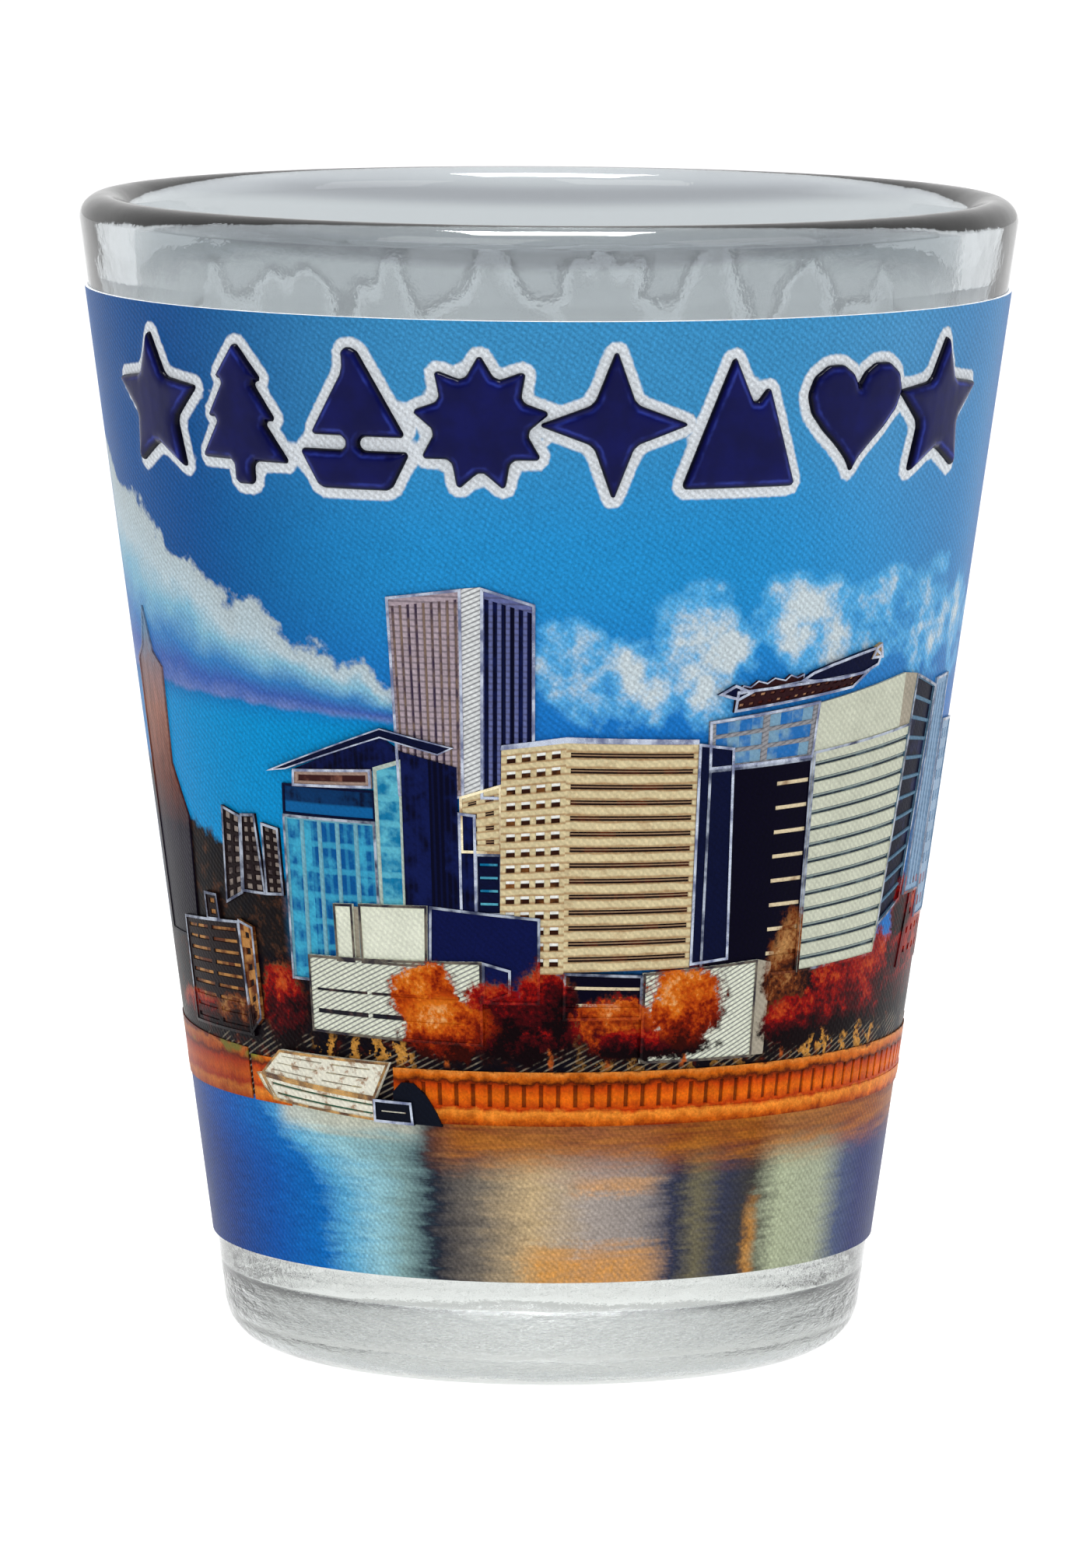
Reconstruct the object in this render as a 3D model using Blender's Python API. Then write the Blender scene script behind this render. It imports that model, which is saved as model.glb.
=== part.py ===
"""Souvenir shot glass, in metres, +Z up, standing on Z = 0 with its axis on Z. The front faces -Y.

A pressed glass tumbler carries a printed wrap film, and the film carries two rows of raised enamel
motifs: one on the front half of the print and the same row again on the back half.
"""

import math

import bmesh
import bpy

MM = 0.001

# Tumbler, outside
HEIGHT = 60.0 * MM
FOOT_CONE_RADIUS = 16.3 * MM  # the outer cone, continued down to the table
CONE_SLOPE = 0.1367  # outward run of the outer wall for each unit of height
HEEL_HEIGHT = 2.5 * MM
FOOT_RING_RADIUS = 14.2 * MM
FOOT_RING_INNER_RADIUS = 11.4 * MM
PUSH_UP = 1.1 * MM
LIP_ROUND = 1.15 * MM

# Tumbler, inside
FLOOR_HEIGHT = 10.0 * MM
FLOOR_CROWN = 0.5 * MM
CAVITY_FOOT_RADIUS = 14.2 * MM
FLOOR_FILLET = 3.2 * MM
LIP_WALL = 2.4 * MM

# Wrap film
FILM_BOTTOM = 5.8 * MM
FILM_TOP = 55.3 * MM
FILM_THICKNESS = 0.15 * MM
GLUE_LINE = 0.05 * MM  # between the glass and the film
SEAM_ANGLE = 100.0  # degrees from the front, towards +X
SEAM_GAP = 0.4 * MM

# Raised motifs
MOTIF_HEIGHT_ON_GLASS = 50.1 * MM  # height of the row's centre line
MOTIF_PITCH = 16.4  # degrees
MOTIF_RELIEF = 0.45 * MM
MOTIF_BEVEL = 0.28 * MM
MOTIF_BEVEL_STEPS = 2
MOTIF_CORNER = 0.22 * MM
INK_GAP = 0.03 * MM  # between the film and a motif
STRIP_WIDTH = 0.9 * MM  # a motif is cut into upright strips, so that it can follow the round wall

TURN_STEPS = 96
ARC_STEPS = 6

GLASS_COLOUR = (0.82, 0.86, 0.86, 1.0)
PRINT_COLOUR = (0.08, 0.30, 0.62, 1.0)
ENAMEL_COLOUR = (0.012, 0.010, 0.16, 1.0)


def outer_radius(height):
    """Radius of the tumbler's outer cone at a height."""
    return FOOT_CONE_RADIUS + CONE_SLOPE * height


def clear_scene():
    for obj in list(bpy.data.objects):
        bpy.data.objects.remove(obj)


def principled(name, colour, roughness, metallic=0.0):
    material = bpy.data.materials.new(name)
    material.use_nodes = True
    shader = material.node_tree.nodes["Principled BSDF"]
    shader.inputs["Base Color"].default_value = colour
    shader.inputs["Roughness"].default_value = roughness
    shader.inputs["Metallic"].default_value = metallic
    material.diffuse_color = colour
    return material


def node_from(bm, name, material, smooth_below=35.0):
    """Turns a bmesh into a named object, shaded smooth but for edges sharper than smooth_below degrees."""
    mesh = bpy.data.meshes.new(name)
    bm.to_mesh(mesh)
    bm.free()
    mesh.shade_smooth()
    mesh.set_sharp_from_angle(angle=math.radians(smooth_below))
    mesh.materials.append(material)
    obj = bpy.data.objects.new(name, mesh)
    bpy.context.scene.collection.objects.link(obj)
    return obj


def arc(centre, radii, start, end, steps=ARC_STEPS):
    """Points of an elliptical arc from start to end, in degrees, both ends included."""
    points = []
    for step in range(steps + 1):
        angle = math.radians(start + (end - start) * step / steps)
        points.append((centre[0] + radii[0] * math.cos(angle), centre[1] + radii[1] * math.sin(angle)))
    return points


def tumbler_profile():
    """(radius, height) from the middle of the cavity's floor, over the lip, to the underside's middle."""
    lip_centre_height = HEIGHT - LIP_ROUND
    lip_outer = outer_radius(lip_centre_height)
    lip_inner = lip_outer - LIP_WALL
    cavity_slope = (lip_inner - CAVITY_FOOT_RADIUS) / (lip_centre_height - FLOOR_HEIGHT)
    fillet_top = FLOOR_HEIGHT + FLOOR_FILLET
    wall_at_fillet = CAVITY_FOOT_RADIUS + cavity_slope * FLOOR_FILLET

    floor = [(0.0, FLOOR_HEIGHT + FLOOR_CROWN), (0.5 * CAVITY_FOOT_RADIUS, FLOOR_HEIGHT + 0.7 * FLOOR_CROWN)]
    fillet = arc((wall_at_fillet - FLOOR_FILLET, fillet_top), (FLOOR_FILLET, FLOOR_FILLET), -90, 0)
    lip = arc(
        ((lip_inner + lip_outer) / 2, lip_centre_height), (LIP_WALL / 2, LIP_ROUND), 180, 0, 2 * ARC_STEPS
    )
    heel_radius = outer_radius(HEEL_HEIGHT)
    heel_run = heel_radius - FOOT_RING_RADIUS
    heel = arc((FOOT_RING_RADIUS, HEEL_HEIGHT), (heel_run, HEEL_HEIGHT), 0, -90)
    push_up = [
        (FOOT_RING_INNER_RADIUS * share, PUSH_UP * (1 - share**2)) for share in (1.0, 0.85, 0.65, 0.35)
    ]
    return floor + fillet + lip + heel + push_up + [(0.0, PUSH_UP)]


def glass_body(material):
    """The pressed tumbler, turned from its profile with a Screw modifier."""
    bm = bmesh.new()
    corners = [bm.verts.new((radius, 0.0, height)) for radius, height in tumbler_profile()]
    for first, second in zip(corners, corners[1:]):
        bm.edges.new((first, second))
    obj = node_from(bm, "glass_body", material)
    turn = obj.modifiers.new("turn", "SCREW")
    turn.steps = turn.render_steps = TURN_STEPS
    turn.use_merge_vertices = True
    turn.merge_threshold = 0.01 * MM
    turn.use_smooth_shade = True
    return obj


def wrap_film(material):
    """The printed film: a conical sleeve round the tumbler, open at its seam."""
    inner = GLUE_LINE
    outer = GLUE_LINE + FILM_THICKNESS
    section = [
        (outer_radius(FILM_BOTTOM) + inner, FILM_BOTTOM),
        (outer_radius(FILM_TOP) + inner, FILM_TOP),
        (outer_radius(FILM_TOP) + outer, FILM_TOP),
        (outer_radius(FILM_BOTTOM) + outer, FILM_BOTTOM),
    ]
    open_angle = SEAM_GAP / outer_radius(FILM_TOP)
    start = math.radians(SEAM_ANGLE - 90) + open_angle / 2

    bm = bmesh.new()
    corners = [
        bm.verts.new((radius * math.cos(start), radius * math.sin(start), height))
        for radius, height in section
    ]
    end = bm.faces.new(corners)
    bmesh.ops.spin(
        bm,
        geom=[end, *end.edges, *end.verts],
        axis=(0, 0, 1),
        angle=2 * math.pi - open_angle,
        steps=TURN_STEPS,
    )
    bmesh.ops.recalc_face_normals(bm, faces=bm.faces)
    return node_from(bm, "wrap_film", material)


def starburst(points, tip, notch):
    """A star's outline: as many tips as points, from the middle out to tip, cut in to notch."""
    outline = []
    for step in range(2 * points):
        reach = notch if step % 2 else tip
        angle = math.pi / 2 - math.pi * step / points
        outline.append((reach * math.cos(angle), reach * math.sin(angle)))
    return outline


def mirrored(half):
    """A closed outline from its right half, listed from the top middle down to the bottom middle."""
    left = [(-across, up) for across, up in reversed(half) if across > 0]
    return half + left


def pine_tree():
    half = [
        (0.0, 3.7), (1.6, 1.7), (0.95, 1.7), (2.3, -0.3),
        (1.5, -0.3), (3.0, -2.4), (0.65, -2.4), (0.65, -3.6),
    ]  # fmt: skip
    return mirrored(half)


def sailboat():
    return [
        (0.4, 3.7), (2.9, -0.8), (0.4, -0.8), (0.4, -1.5), (3.1, -1.5), (2.0, -3.5), (-2.0, -3.5),
        (-3.1, -1.5), (-0.4, -1.5), (-0.4, -0.8), (-2.4, -0.8), (-0.4, 2.5), (-0.4, 3.7),
    ]  # fmt: skip


def mountain():
    return [(-0.7, 3.5), (0.55, 0.9), (1.3, 1.9), (3.2, -3.3), (-3.2, -3.3)]


def heart():
    """A heart from the usual sine and cosine formula, sized to the row."""
    size = 0.195
    steps = 24
    outline = []
    for step in range(steps):
        turn = 2 * math.pi * step / steps
        across = 16 * math.sin(turn) ** 3
        up = 13 * math.cos(turn) - 5 * math.cos(2 * turn) - 2 * math.cos(3 * turn) - math.cos(4 * turn)
        outline.append((size * across, size * (up + 2.5)))
    return outline


MOTIFS = (  # left to right on the glass: name, outline in millimetres
    ("star", starburst(5, 3.9, 1.9)),
    ("pine_tree", pine_tree()),
    ("sailboat", sailboat()),
    ("sun", starburst(9, 3.6, 2.35)),
    ("compass", starburst(4, 3.9, 1.5)),
    ("mountain", mountain()),
    ("heart", heart()),
    ("star", starburst(5, 3.9, 1.9)),
)


def round_on_wall(bm, middle_angle):
    """Rolls a flat motif, drawn in X and Z with its relief towards -Y, onto the film at an angle."""
    base = GLUE_LINE + FILM_THICKNESS + INK_GAP
    roll_radius = outer_radius(MOTIF_HEIGHT_ON_GLASS) + base
    for vert in bm.verts:
        height = MOTIF_HEIGHT_ON_GLASS + vert.co.z
        angle = middle_angle + vert.co.x / roll_radius
        radius = outer_radius(height) + base - vert.co.y
        vert.co = (radius * math.sin(angle), -radius * math.cos(angle), height)


def raised_motif(name, outline, middle_angle, material):
    """One raised enamel motif: its outline cut into upright strips, given its relief, bevelled and rolled."""
    bm = bmesh.new()
    face = bm.faces.new([bm.verts.new((across * MM, 0.0, up * MM)) for across, up in outline])
    if face.normal.dot((0, -1, 0)) < 0:
        face.normal_flip()
    bm.normal_update()
    bmesh.ops.bevel(
        bm, geom=list(bm.verts), offset=MOTIF_CORNER, segments=1, affect="VERTICES", clamp_overlap=True
    )
    reach = max(vert.co.x for vert in bm.verts)
    strips = math.ceil(2 * reach / STRIP_WIDTH)

    grown = bmesh.ops.extrude_face_region(bm, geom=list(bm.faces))
    top = {item for item in grown["geom"] if isinstance(item, bmesh.types.BMVert)}
    bmesh.ops.translate(bm, verts=list(top), vec=(0, -MOTIF_RELIEF, 0))
    bmesh.ops.recalc_face_normals(bm, faces=bm.faces)
    rim = [edge for edge in bm.edges if top.issuperset(edge.verts)]
    bmesh.ops.bevel(
        bm, geom=rim, offset=MOTIF_BEVEL, segments=MOTIF_BEVEL_STEPS, profile=0.5, affect="EDGES",
        clamp_overlap=True,
    )  # fmt: skip
    for strip in range(1, strips):
        cut = -reach + 2 * reach * strip / strips
        bmesh.ops.bisect_plane(
            bm, geom=[*bm.verts, *bm.edges, *bm.faces], plane_co=(cut, 0, 0), plane_no=(1, 0, 0),
            dist=0.001 * MM,
        )  # fmt: skip
    bmesh.ops.remove_doubles(bm, verts=bm.verts, dist=0.002 * MM)
    bmesh.ops.triangulate(bm, faces=bm.faces)
    round_on_wall(bm, middle_angle)
    return node_from(bm, name, material, 50.0)


def motif_row(side, facing, material):
    """A row of raised motifs centred on the angle that the side faces."""
    for place, (shape, outline) in enumerate(MOTIFS):
        middle_angle = math.radians(facing + MOTIF_PITCH * (place - (len(MOTIFS) - 1) / 2))
        raised_motif(f"{side}_motif_{place + 1}_{shape}", outline, middle_angle, material)


def main():
    clear_scene()
    glass = principled("clear_glass", GLASS_COLOUR, 0.02)
    printed = principled("printed_film", PRINT_COLOUR, 0.35, 0.2)
    enamel = principled("navy_enamel", ENAMEL_COLOUR, 0.18)
    glass_body(glass)
    wrap_film(printed)
    motif_row("front", 0.0, enamel)
    motif_row("back", 180.0, enamel)


main()
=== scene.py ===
"""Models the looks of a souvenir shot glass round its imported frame, laid out as a Blender add-on.

A turned tumbler carries a satin film printed with a waterside skyline. The buildings stand proud of the
film as thin embossed reliefs, under a row of domed enamel motifs, and the back half repeats the front.

The print is drawn flat in millimetres: s runs to the right from the middle of the picture, z is the height
on the glass, and a relief stands towards -Y. Each flat piece is then rolled onto the film.
"""

import math

import bmesh
import bpy
import numpy as np
from bpy.props import FloatProperty, FloatVectorProperty, IntProperty, PointerProperty
from bpy.types import Operator, Panel, PropertyGroup
from mathutils import Matrix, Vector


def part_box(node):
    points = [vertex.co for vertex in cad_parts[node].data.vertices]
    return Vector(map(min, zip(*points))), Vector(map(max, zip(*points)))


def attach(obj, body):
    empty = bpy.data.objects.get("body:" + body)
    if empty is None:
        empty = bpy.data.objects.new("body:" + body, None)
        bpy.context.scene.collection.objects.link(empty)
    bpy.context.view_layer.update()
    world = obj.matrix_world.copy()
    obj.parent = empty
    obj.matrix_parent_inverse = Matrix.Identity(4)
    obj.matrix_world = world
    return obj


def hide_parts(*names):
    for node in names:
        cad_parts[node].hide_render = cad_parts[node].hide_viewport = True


bl_info = {
    "name": "Souvenir Shot Glass",
    "version": (1, 0, 0),
    "blender": (4, 5, 0),
    "location": "3D View > Sidebar > Shot Glass",
    "description": "Builds a shot glass with a printed, embossed wrap film",
    "category": "Add Mesh",
}

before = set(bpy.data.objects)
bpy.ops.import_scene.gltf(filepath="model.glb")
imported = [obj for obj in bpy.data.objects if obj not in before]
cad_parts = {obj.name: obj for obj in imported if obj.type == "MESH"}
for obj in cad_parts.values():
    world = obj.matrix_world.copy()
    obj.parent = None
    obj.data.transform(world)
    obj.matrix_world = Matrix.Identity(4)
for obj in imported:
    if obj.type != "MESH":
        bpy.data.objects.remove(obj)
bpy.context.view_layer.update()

MM = 0.001
BODY = "root"
SIDES = (("front", 0.0), ("back", math.pi))
MOTIF_NAMES = ("star", "pine_tree", "sailboat", "sun", "compass", "mountain", "heart", "star")
PRINT_RADIUS = 20.2  # mm: the radius at which a millimetre of print is a millimetre of glass
PICTURE_HALF = PRINT_RADIUS * math.pi / 2  # mm: half the width of one of the two pictures
ROLL_STEP = 0.8  # mm: the widest flat facet that is rolled onto the film
FILM_STEP = 0.42 * MM  # the size of the film's facets
SPIN_STEPS = 288  # facets round the tumbler
TUCK = 0.02 * MM  # how deep a relief's back is sunk into the film
REVEAL = 0.035 * MM  # slope of the sides of a sunk window
MERGE = 0.001 * MM  # corners nearer than this are one
BOND = 0.06 * MM  # a motif's corners that are this near the film are its floor
MOTIF_REACH = 2.5  # mm: how far round a motif its edge is looked for
NO_MOTIF = 5.0  # mm: the distance to a motif's edge that is kept where none is near


# The frame's cones


def ring_radius(node, height):
    """The largest radius of a node's corners at a height."""
    places = [vert.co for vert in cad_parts[node].data.vertices if abs(vert.co.z - height) < 0.01 * MM]
    return max(math.hypot(place.x, place.y) for place in places)


FILM_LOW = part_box("wrap_film")[0][2]
FILM_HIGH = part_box("wrap_film")[1][2]
FILM_LOW_RADIUS = ring_radius("wrap_film", FILM_LOW)
FILM_HIGH_RADIUS = ring_radius("wrap_film", FILM_HIGH)
GLASS_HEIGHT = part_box("glass_body")[1][2]
CONE_SLOPE = (FILM_HIGH_RADIUS - FILM_LOW_RADIUS) / (FILM_HIGH - FILM_LOW)


def film_radius(height):
    """Radius of the film's outer face at a height, also for an array of heights."""
    return FILM_LOW_RADIUS + CONE_SLOPE * (height - FILM_LOW)


# Settings


def ink(code):
    """A linear colour with full alpha from six hex digits."""
    shares = [int(code[start : start + 2], 16) / 255 for start in (0, 2, 4)]
    linear = [share / 12.92 if share <= 0.04045 else ((share + 0.055) / 1.055) ** 2.4 for share in shares]
    return (*linear, 1.0)


def colour_setting(name, description, code):
    return FloatVectorProperty(
        name=name, description=description, subtype="COLOR", size=4, min=0.0, max=1.0, default=ink(code)
    )


def length_setting(name, description, millimetres):
    return FloatProperty(
        name=name, description=description, subtype="DISTANCE", unit="LENGTH", default=millimetres * MM
    )


def light_setting(name, description, power):
    return FloatProperty(name=name, description=description, unit="POWER", default=power)


class ShotGlassTumbler(PropertyGroup):
    """The pressed glass."""

    tint: colour_setting("Tint", "Colour of the glass in the wall", "f8fafa")
    tint_thick: colour_setting("Thick tint", "Colour of the glass in the base", "d2d6d3")
    # The lip tint is painted shade: it darkens the view into the mouth through the lip
    lip_shade_tint: colour_setting("Lip tint", "Colour of the glass in the lip", "c2c8cb")
    heel: length_setting("Heel", "Height of the rounded heel", 2.5)
    foot_ring: length_setting("Foot ring", "Outer radius of the ring that the glass stands on", 14.2)
    foot_ring_inner: length_setting("Foot ring, inner", "Inner radius of that ring", 11.4)
    push_up: length_setting("Push-up", "Rise of the underside inside the foot ring", 1.1)
    floor: length_setting("Floor", "Height of the cavity's floor", 10.0)
    cavity: length_setting("Cavity", "Radius of the cavity at its floor", 14.2)
    fillet: length_setting("Fillet", "Radius between the floor and the wall", 3.2)
    lip_wall: length_setting("Lip wall", "Thickness of the wall at the lip", 2.4)
    lip_round: length_setting("Lip round", "Height of the fire-polished lip's rounding", 1.15)
    rib_depth: length_setting("Rib depth", "Depth of the stipple on the foot ring", 0.16)
    ribs: IntProperty(name="Ribs", description="Stipple ribs round the foot ring", default=72, min=3)


class ShotGlassPrint(PropertyGroup):
    """The wrap film and its print."""

    thickness: length_setting("Thickness", "Thickness of the film", 0.15)
    plateau: length_setting("Plateau", "How far the film is pressed out under a motif", 0.10)
    halo: FloatProperty(name="Halo", description="Width of the white halo, in millimetres", default=0.45)
    sky_high: colour_setting("High sky", "Sky at the top of the print", "3a89bb")
    sky_mid: colour_setting("Middle sky", "Sky under the motifs", "2187c4")
    sky_low: colour_setting("Low sky", "Sky behind the roofs", "176cb8")
    sky_teal: colour_setting("Clear sky", "Sky under the big cloud", "0486c2")
    cloud: colour_setting("Cloud", "Lit cloud", "c2cccf")
    cloud_shade: colour_setting("Cloud haze", "Thin edge of the clouds", "5aaada")
    halo_white: colour_setting("Halo white", "White round the motifs", "d2d7dc")
    foil: colour_setting("Foil", "Bare back of the film", "f6f7f8")


class ShotGlassSkyline(PropertyGroup):
    """The embossed buildings."""

    relief: length_setting("Relief", "How far the nearest buildings stand proud of the film", 0.24)
    outline: length_setting("Outline", "Width of the raised line round each face", 0.14)
    outline_rise: length_setting("Outline rise", "How far that line stands proud of its face", 0.05)
    recess: length_setting("Recess", "Depth of the windows", 0.06)
    cream: colour_setting("Cream", "Sunlit concrete", "cabb94")
    white: colour_setting("White", "Pale stone", "d5d8c6")
    violet: colour_setting("Violet", "Shaded stone of the tall tower", "a4949c")
    navy: colour_setting("Navy", "Shaded glass", "060c2c")


class ShotGlassEnamel(PropertyGroup):
    """The raised motifs."""

    colour: colour_setting("Colour", "Enamel", "04073e")
    voxel: length_setting("Detail", "Size of the smallest facet", 0.10)
    shoulder: FloatProperty(name="Shoulder", description="Width of the domed edge, in mm", default=0.75)


class ShotGlassStage(PropertyGroup):
    """Floor, lights and camera."""

    floor: colour_setting("Floor", "Floor and backdrop", "8c8c8c")
    key: light_setting("Key light", "Power of the large front light", 2.0)
    fill: light_setting("Fill light", "Power of the side light", 1.0)
    top: light_setting("Top light", "Power of the light overhead", 1.2)
    floor_glow: FloatProperty(name="Floor glow", description="Light that the floor gives off", default=0.88)
    camera: FloatVectorProperty(
        name="Camera", description="Place of the camera", subtype="TRANSLATION", unit="LENGTH",
        default=(-0.000108, -0.5089, 0.0939),
    )
    pitch: FloatProperty(
        name="Pitch", description="How far the camera looks down", subtype="ANGLE", default=0.1265
    )
    roll: FloatProperty(name="Roll", description="Tilt of the horizon", subtype="ANGLE", default=0.0066)
    lens: FloatProperty(name="Lens", description="Focal length", subtype="DISTANCE_CAMERA", default=225.3)


# Shader maths


class Wire:
    """A shader socket that Python's operators work on: each operator adds its Math node."""

    def __init__(self, recipe, socket):
        self.recipe = recipe
        self.socket = socket

    def math(self, operation, *values):
        return self.recipe.node("ShaderNodeMath", {"operation": operation}, dict(enumerate(values)))

    def __add__(self, other):
        return self.math("ADD", self, other)

    __radd__ = __add__

    def __sub__(self, other):
        return self.math("SUBTRACT", self, other)

    def __rsub__(self, other):
        return self.math("SUBTRACT", other, self)

    def __mul__(self, other):
        return self.math("MULTIPLY", self, other)

    __rmul__ = __mul__

    def __truediv__(self, other):
        return self.math("DIVIDE", self, other)

    def __pow__(self, other):
        return self.math("POWER", self, other)

    def larger(self, other):
        return self.math("MAXIMUM", self, other)

    def smaller(self, other):
        return self.math("MINIMUM", self, other)

    def sine(self):
        return self.math("SINE", self)

    def floor(self):
        return self.math("FLOOR", self)

    def fraction(self):
        return self.math("FRACT", self)

    def step(self, low, high):
        """0 below low and 1 above high, smooth between; the other way round if low is larger."""
        return self.recipe.node(
            "ShaderNodeMapRange",
            {"interpolation_type": "SMOOTHSTEP"},
            {"Value": self, "From Min": low, "From Max": high},
        )

    def within(self, low, high, soft):
        """1 between low and high, with soft ends."""
        return self.step(low - soft, low + soft) * self.step(high + soft, high - soft)


class Recipe:
    """A material and what its nodes are written with."""

    def __init__(self, name):
        self.material = bpy.data.materials.new(name)
        self.material.use_nodes = True
        self.tree = self.material.node_tree
        self.shader = self.tree.nodes["Principled BSDF"]
        self.kept = {}

    def node(self, kind, settings, inputs, output=0):
        """Adds a node: its settings first, then its sockets' values or links. Gives one output as a Wire."""
        added = self.tree.nodes.new(kind)
        for key, value in settings.items():
            if key == "stops":
                self.set_stops(added.color_ramp, value)
            else:
                setattr(added, key, value)
        self.feed(added, inputs)
        return Wire(self, added.outputs[output])

    def set_stops(self, ramp, stops):
        while len(ramp.elements) < len(stops):
            ramp.elements.new(1.0)
        for element, (place, colour) in zip(ramp.elements, stops):
            element.position = place
            element.color = colour

    def feed(self, node, inputs):
        for key, value in inputs.items():
            if isinstance(value, Wire):
                self.tree.links.new(value.socket, node.inputs[key])
            else:
                node.inputs[key].default_value = value

    def finish(self, **inputs):
        """Feeds the Principled shader and gives the material. Socket names are written with underscores."""
        self.feed(self.shader, {key.replace("_", " "): value for key, value in inputs.items()})
        return self.material

    def once(self, key, make):
        """A wire that is made the first time it is asked for."""
        if key not in self.kept:
            self.kept[key] = make()
        return self.kept[key]

    def uv(self, name, axis):
        """One axis of a piece's own UV map."""
        place = self.once(name, lambda: self.node("ShaderNodeUVMap", {"uv_map": name}, {}))
        return self.once((name, axis), lambda: self.node("ShaderNodeSeparateXYZ", {}, {0: place}, axis))

    def across(self):
        """s in the picture, in millimetres: each half of the glass starts again."""
        whole = self.uv("print", "X")
        return self.once("across", lambda: whole.math("WRAP", whole, PICTURE_HALF, -PICTURE_HALF))

    def height(self):
        """z on the glass, in millimetres."""
        return self.uv("print", "Y")

    def body(self):
        """The place on the object, in millimetres."""
        place = self.once("object", lambda: self.node("ShaderNodeTexCoord", {}, {}, "Object"))
        return self.once("body", lambda: self.vector("SCALE", place, {3: 1 / MM}))

    def vector(self, operation, first, others):
        return self.node("ShaderNodeVectorMath", {"operation": operation}, {0: first, **others})

    def shaded(self, colour, light):
        """A colour made lighter or darker by a wire."""
        return self.vector("SCALE", colour if isinstance(colour, Wire) else colour[:3], {3: light})

    def stretched(self, across, up):
        """Print coordinates scaled along each axis, as a vector."""
        return self.node(
            "ShaderNodeCombineXYZ", {}, {"X": self.uv("print", "X") * across, "Y": self.height() * up}
        )

    def noise(self, place, scale, detail, rough=0.55):
        return self.node(
            "ShaderNodeTexNoise", {}, {"Vector": place, "Scale": scale, "Detail": detail, "Roughness": rough}
        )

    def mix(self, share, first, second):
        """The first colour where the share is 0 and the second where it is 1."""
        return self.node("ShaderNodeMix", {"data_type": "RGBA"}, {0: share, 6: first, 7: second}, 2)

    def ramp(self, wire, stops):
        """A colour ramp whose stops are (place, hex digits)."""
        colours = [(place, ink(code)) for place, code in stops]
        return self.node("ShaderNodeValToRGB", {"stops": colours}, {0: wire})

    def bump(self, height, distance, strength):
        return self.node(
            "ShaderNodeBump", {}, {"Height": height, "Distance": distance, "Strength": strength}
        )


def satin(recipe, colour, roughness=0.36, metallic=0.0, twill=1.0, grain=0.5, gloss=0.03):
    """The film's finish over a printed colour: a fine diagonal twill, a grain and a soft gloss."""
    across = recipe.uv("print", "X")
    up = recipe.height()
    wander = recipe.noise(recipe.body(), 0.9, 2.0)
    ridges = ((across * 15.5 + up * 17.5 + wander * 4.0).sine() * 0.5 + 0.5) * (
        (across * 21.0 - up * 6.0).sine() * 0.3 + 0.7
    )
    speck = recipe.noise(recipe.body(), 8.0, 3.0, 0.7)
    cloth = recipe.noise(recipe.body(), 0.35, 3.0)
    light = 1.0 + (ridges - 0.5) * (0.20 * twill) + (speck - 0.5) * (1.3 * grain) + (cloth - 0.5) * 0.10
    lit = recipe.shaded(colour, light)
    rough = roughness + (speck - 0.5) * 0.12 + (cloth - 0.5) * 0.08
    relief = ridges * (0.6 * twill) + speck * 0.9
    return recipe.finish(
        Base_Color=lit, Roughness=rough, Metallic=metallic, Normal=recipe.bump(relief, 0.016 * MM, 0.7),
        Specular_IOR_Level=gloss,
    )


# Clumps of autumn trees in front of the buildings: middle and half size in millimetres, and the leaves'
# colour, from 0 for brown through 0.5 for crimson to 1 for orange
TREES = (
    ((-24.0, 18.2), (4.5, 1.2), 0.35),
    ((-19.4, 18.4), (2.2, 1.2), 0.10),
    ((-15.4, 19.4), (1.8, 2.6), 0.45),
    ((-1.4, 18.9), (4.4, 1.6), 0.40),
    ((-2.6, 20.0), (1.9, 1.7), 0.50),
    ((0.1, 20.6), (1.7, 2.0), 0.42),
    ((-6.3, 20.6), (2.0, 1.9), 0.95),
    ((-5.2, 18.9), (2.7, 1.8), 0.80),
    ((4.0, 19.1), (2.5, 1.9), 0.72),
    ((6.0, 18.3), (3.4, 0.9), 0.50),
    ((7.7, 20.2), (2.3, 2.3), 0.80),
    ((18.4, 20.0), (4.2, 2.2), 0.52),
    ((22.8, 20.4), (3.8, 2.6), 0.55),
    ((25.6, 22.6), (2.8, 2.4), 0.50),
    ((24.3, 24.0), (1.7, 1.8), 0.55),
    ((28.6, 20.8), (4.0, 2.8), 0.45),
    ((13.9, 21.0), (1.7, 3.9), 0.12),
    ((14.6, 18.8), (2.2, 1.5), 0.50),
)
TRUNKS = (-5.3, 0.4, 3.5, 7.7, 14.1)  # mm


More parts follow.
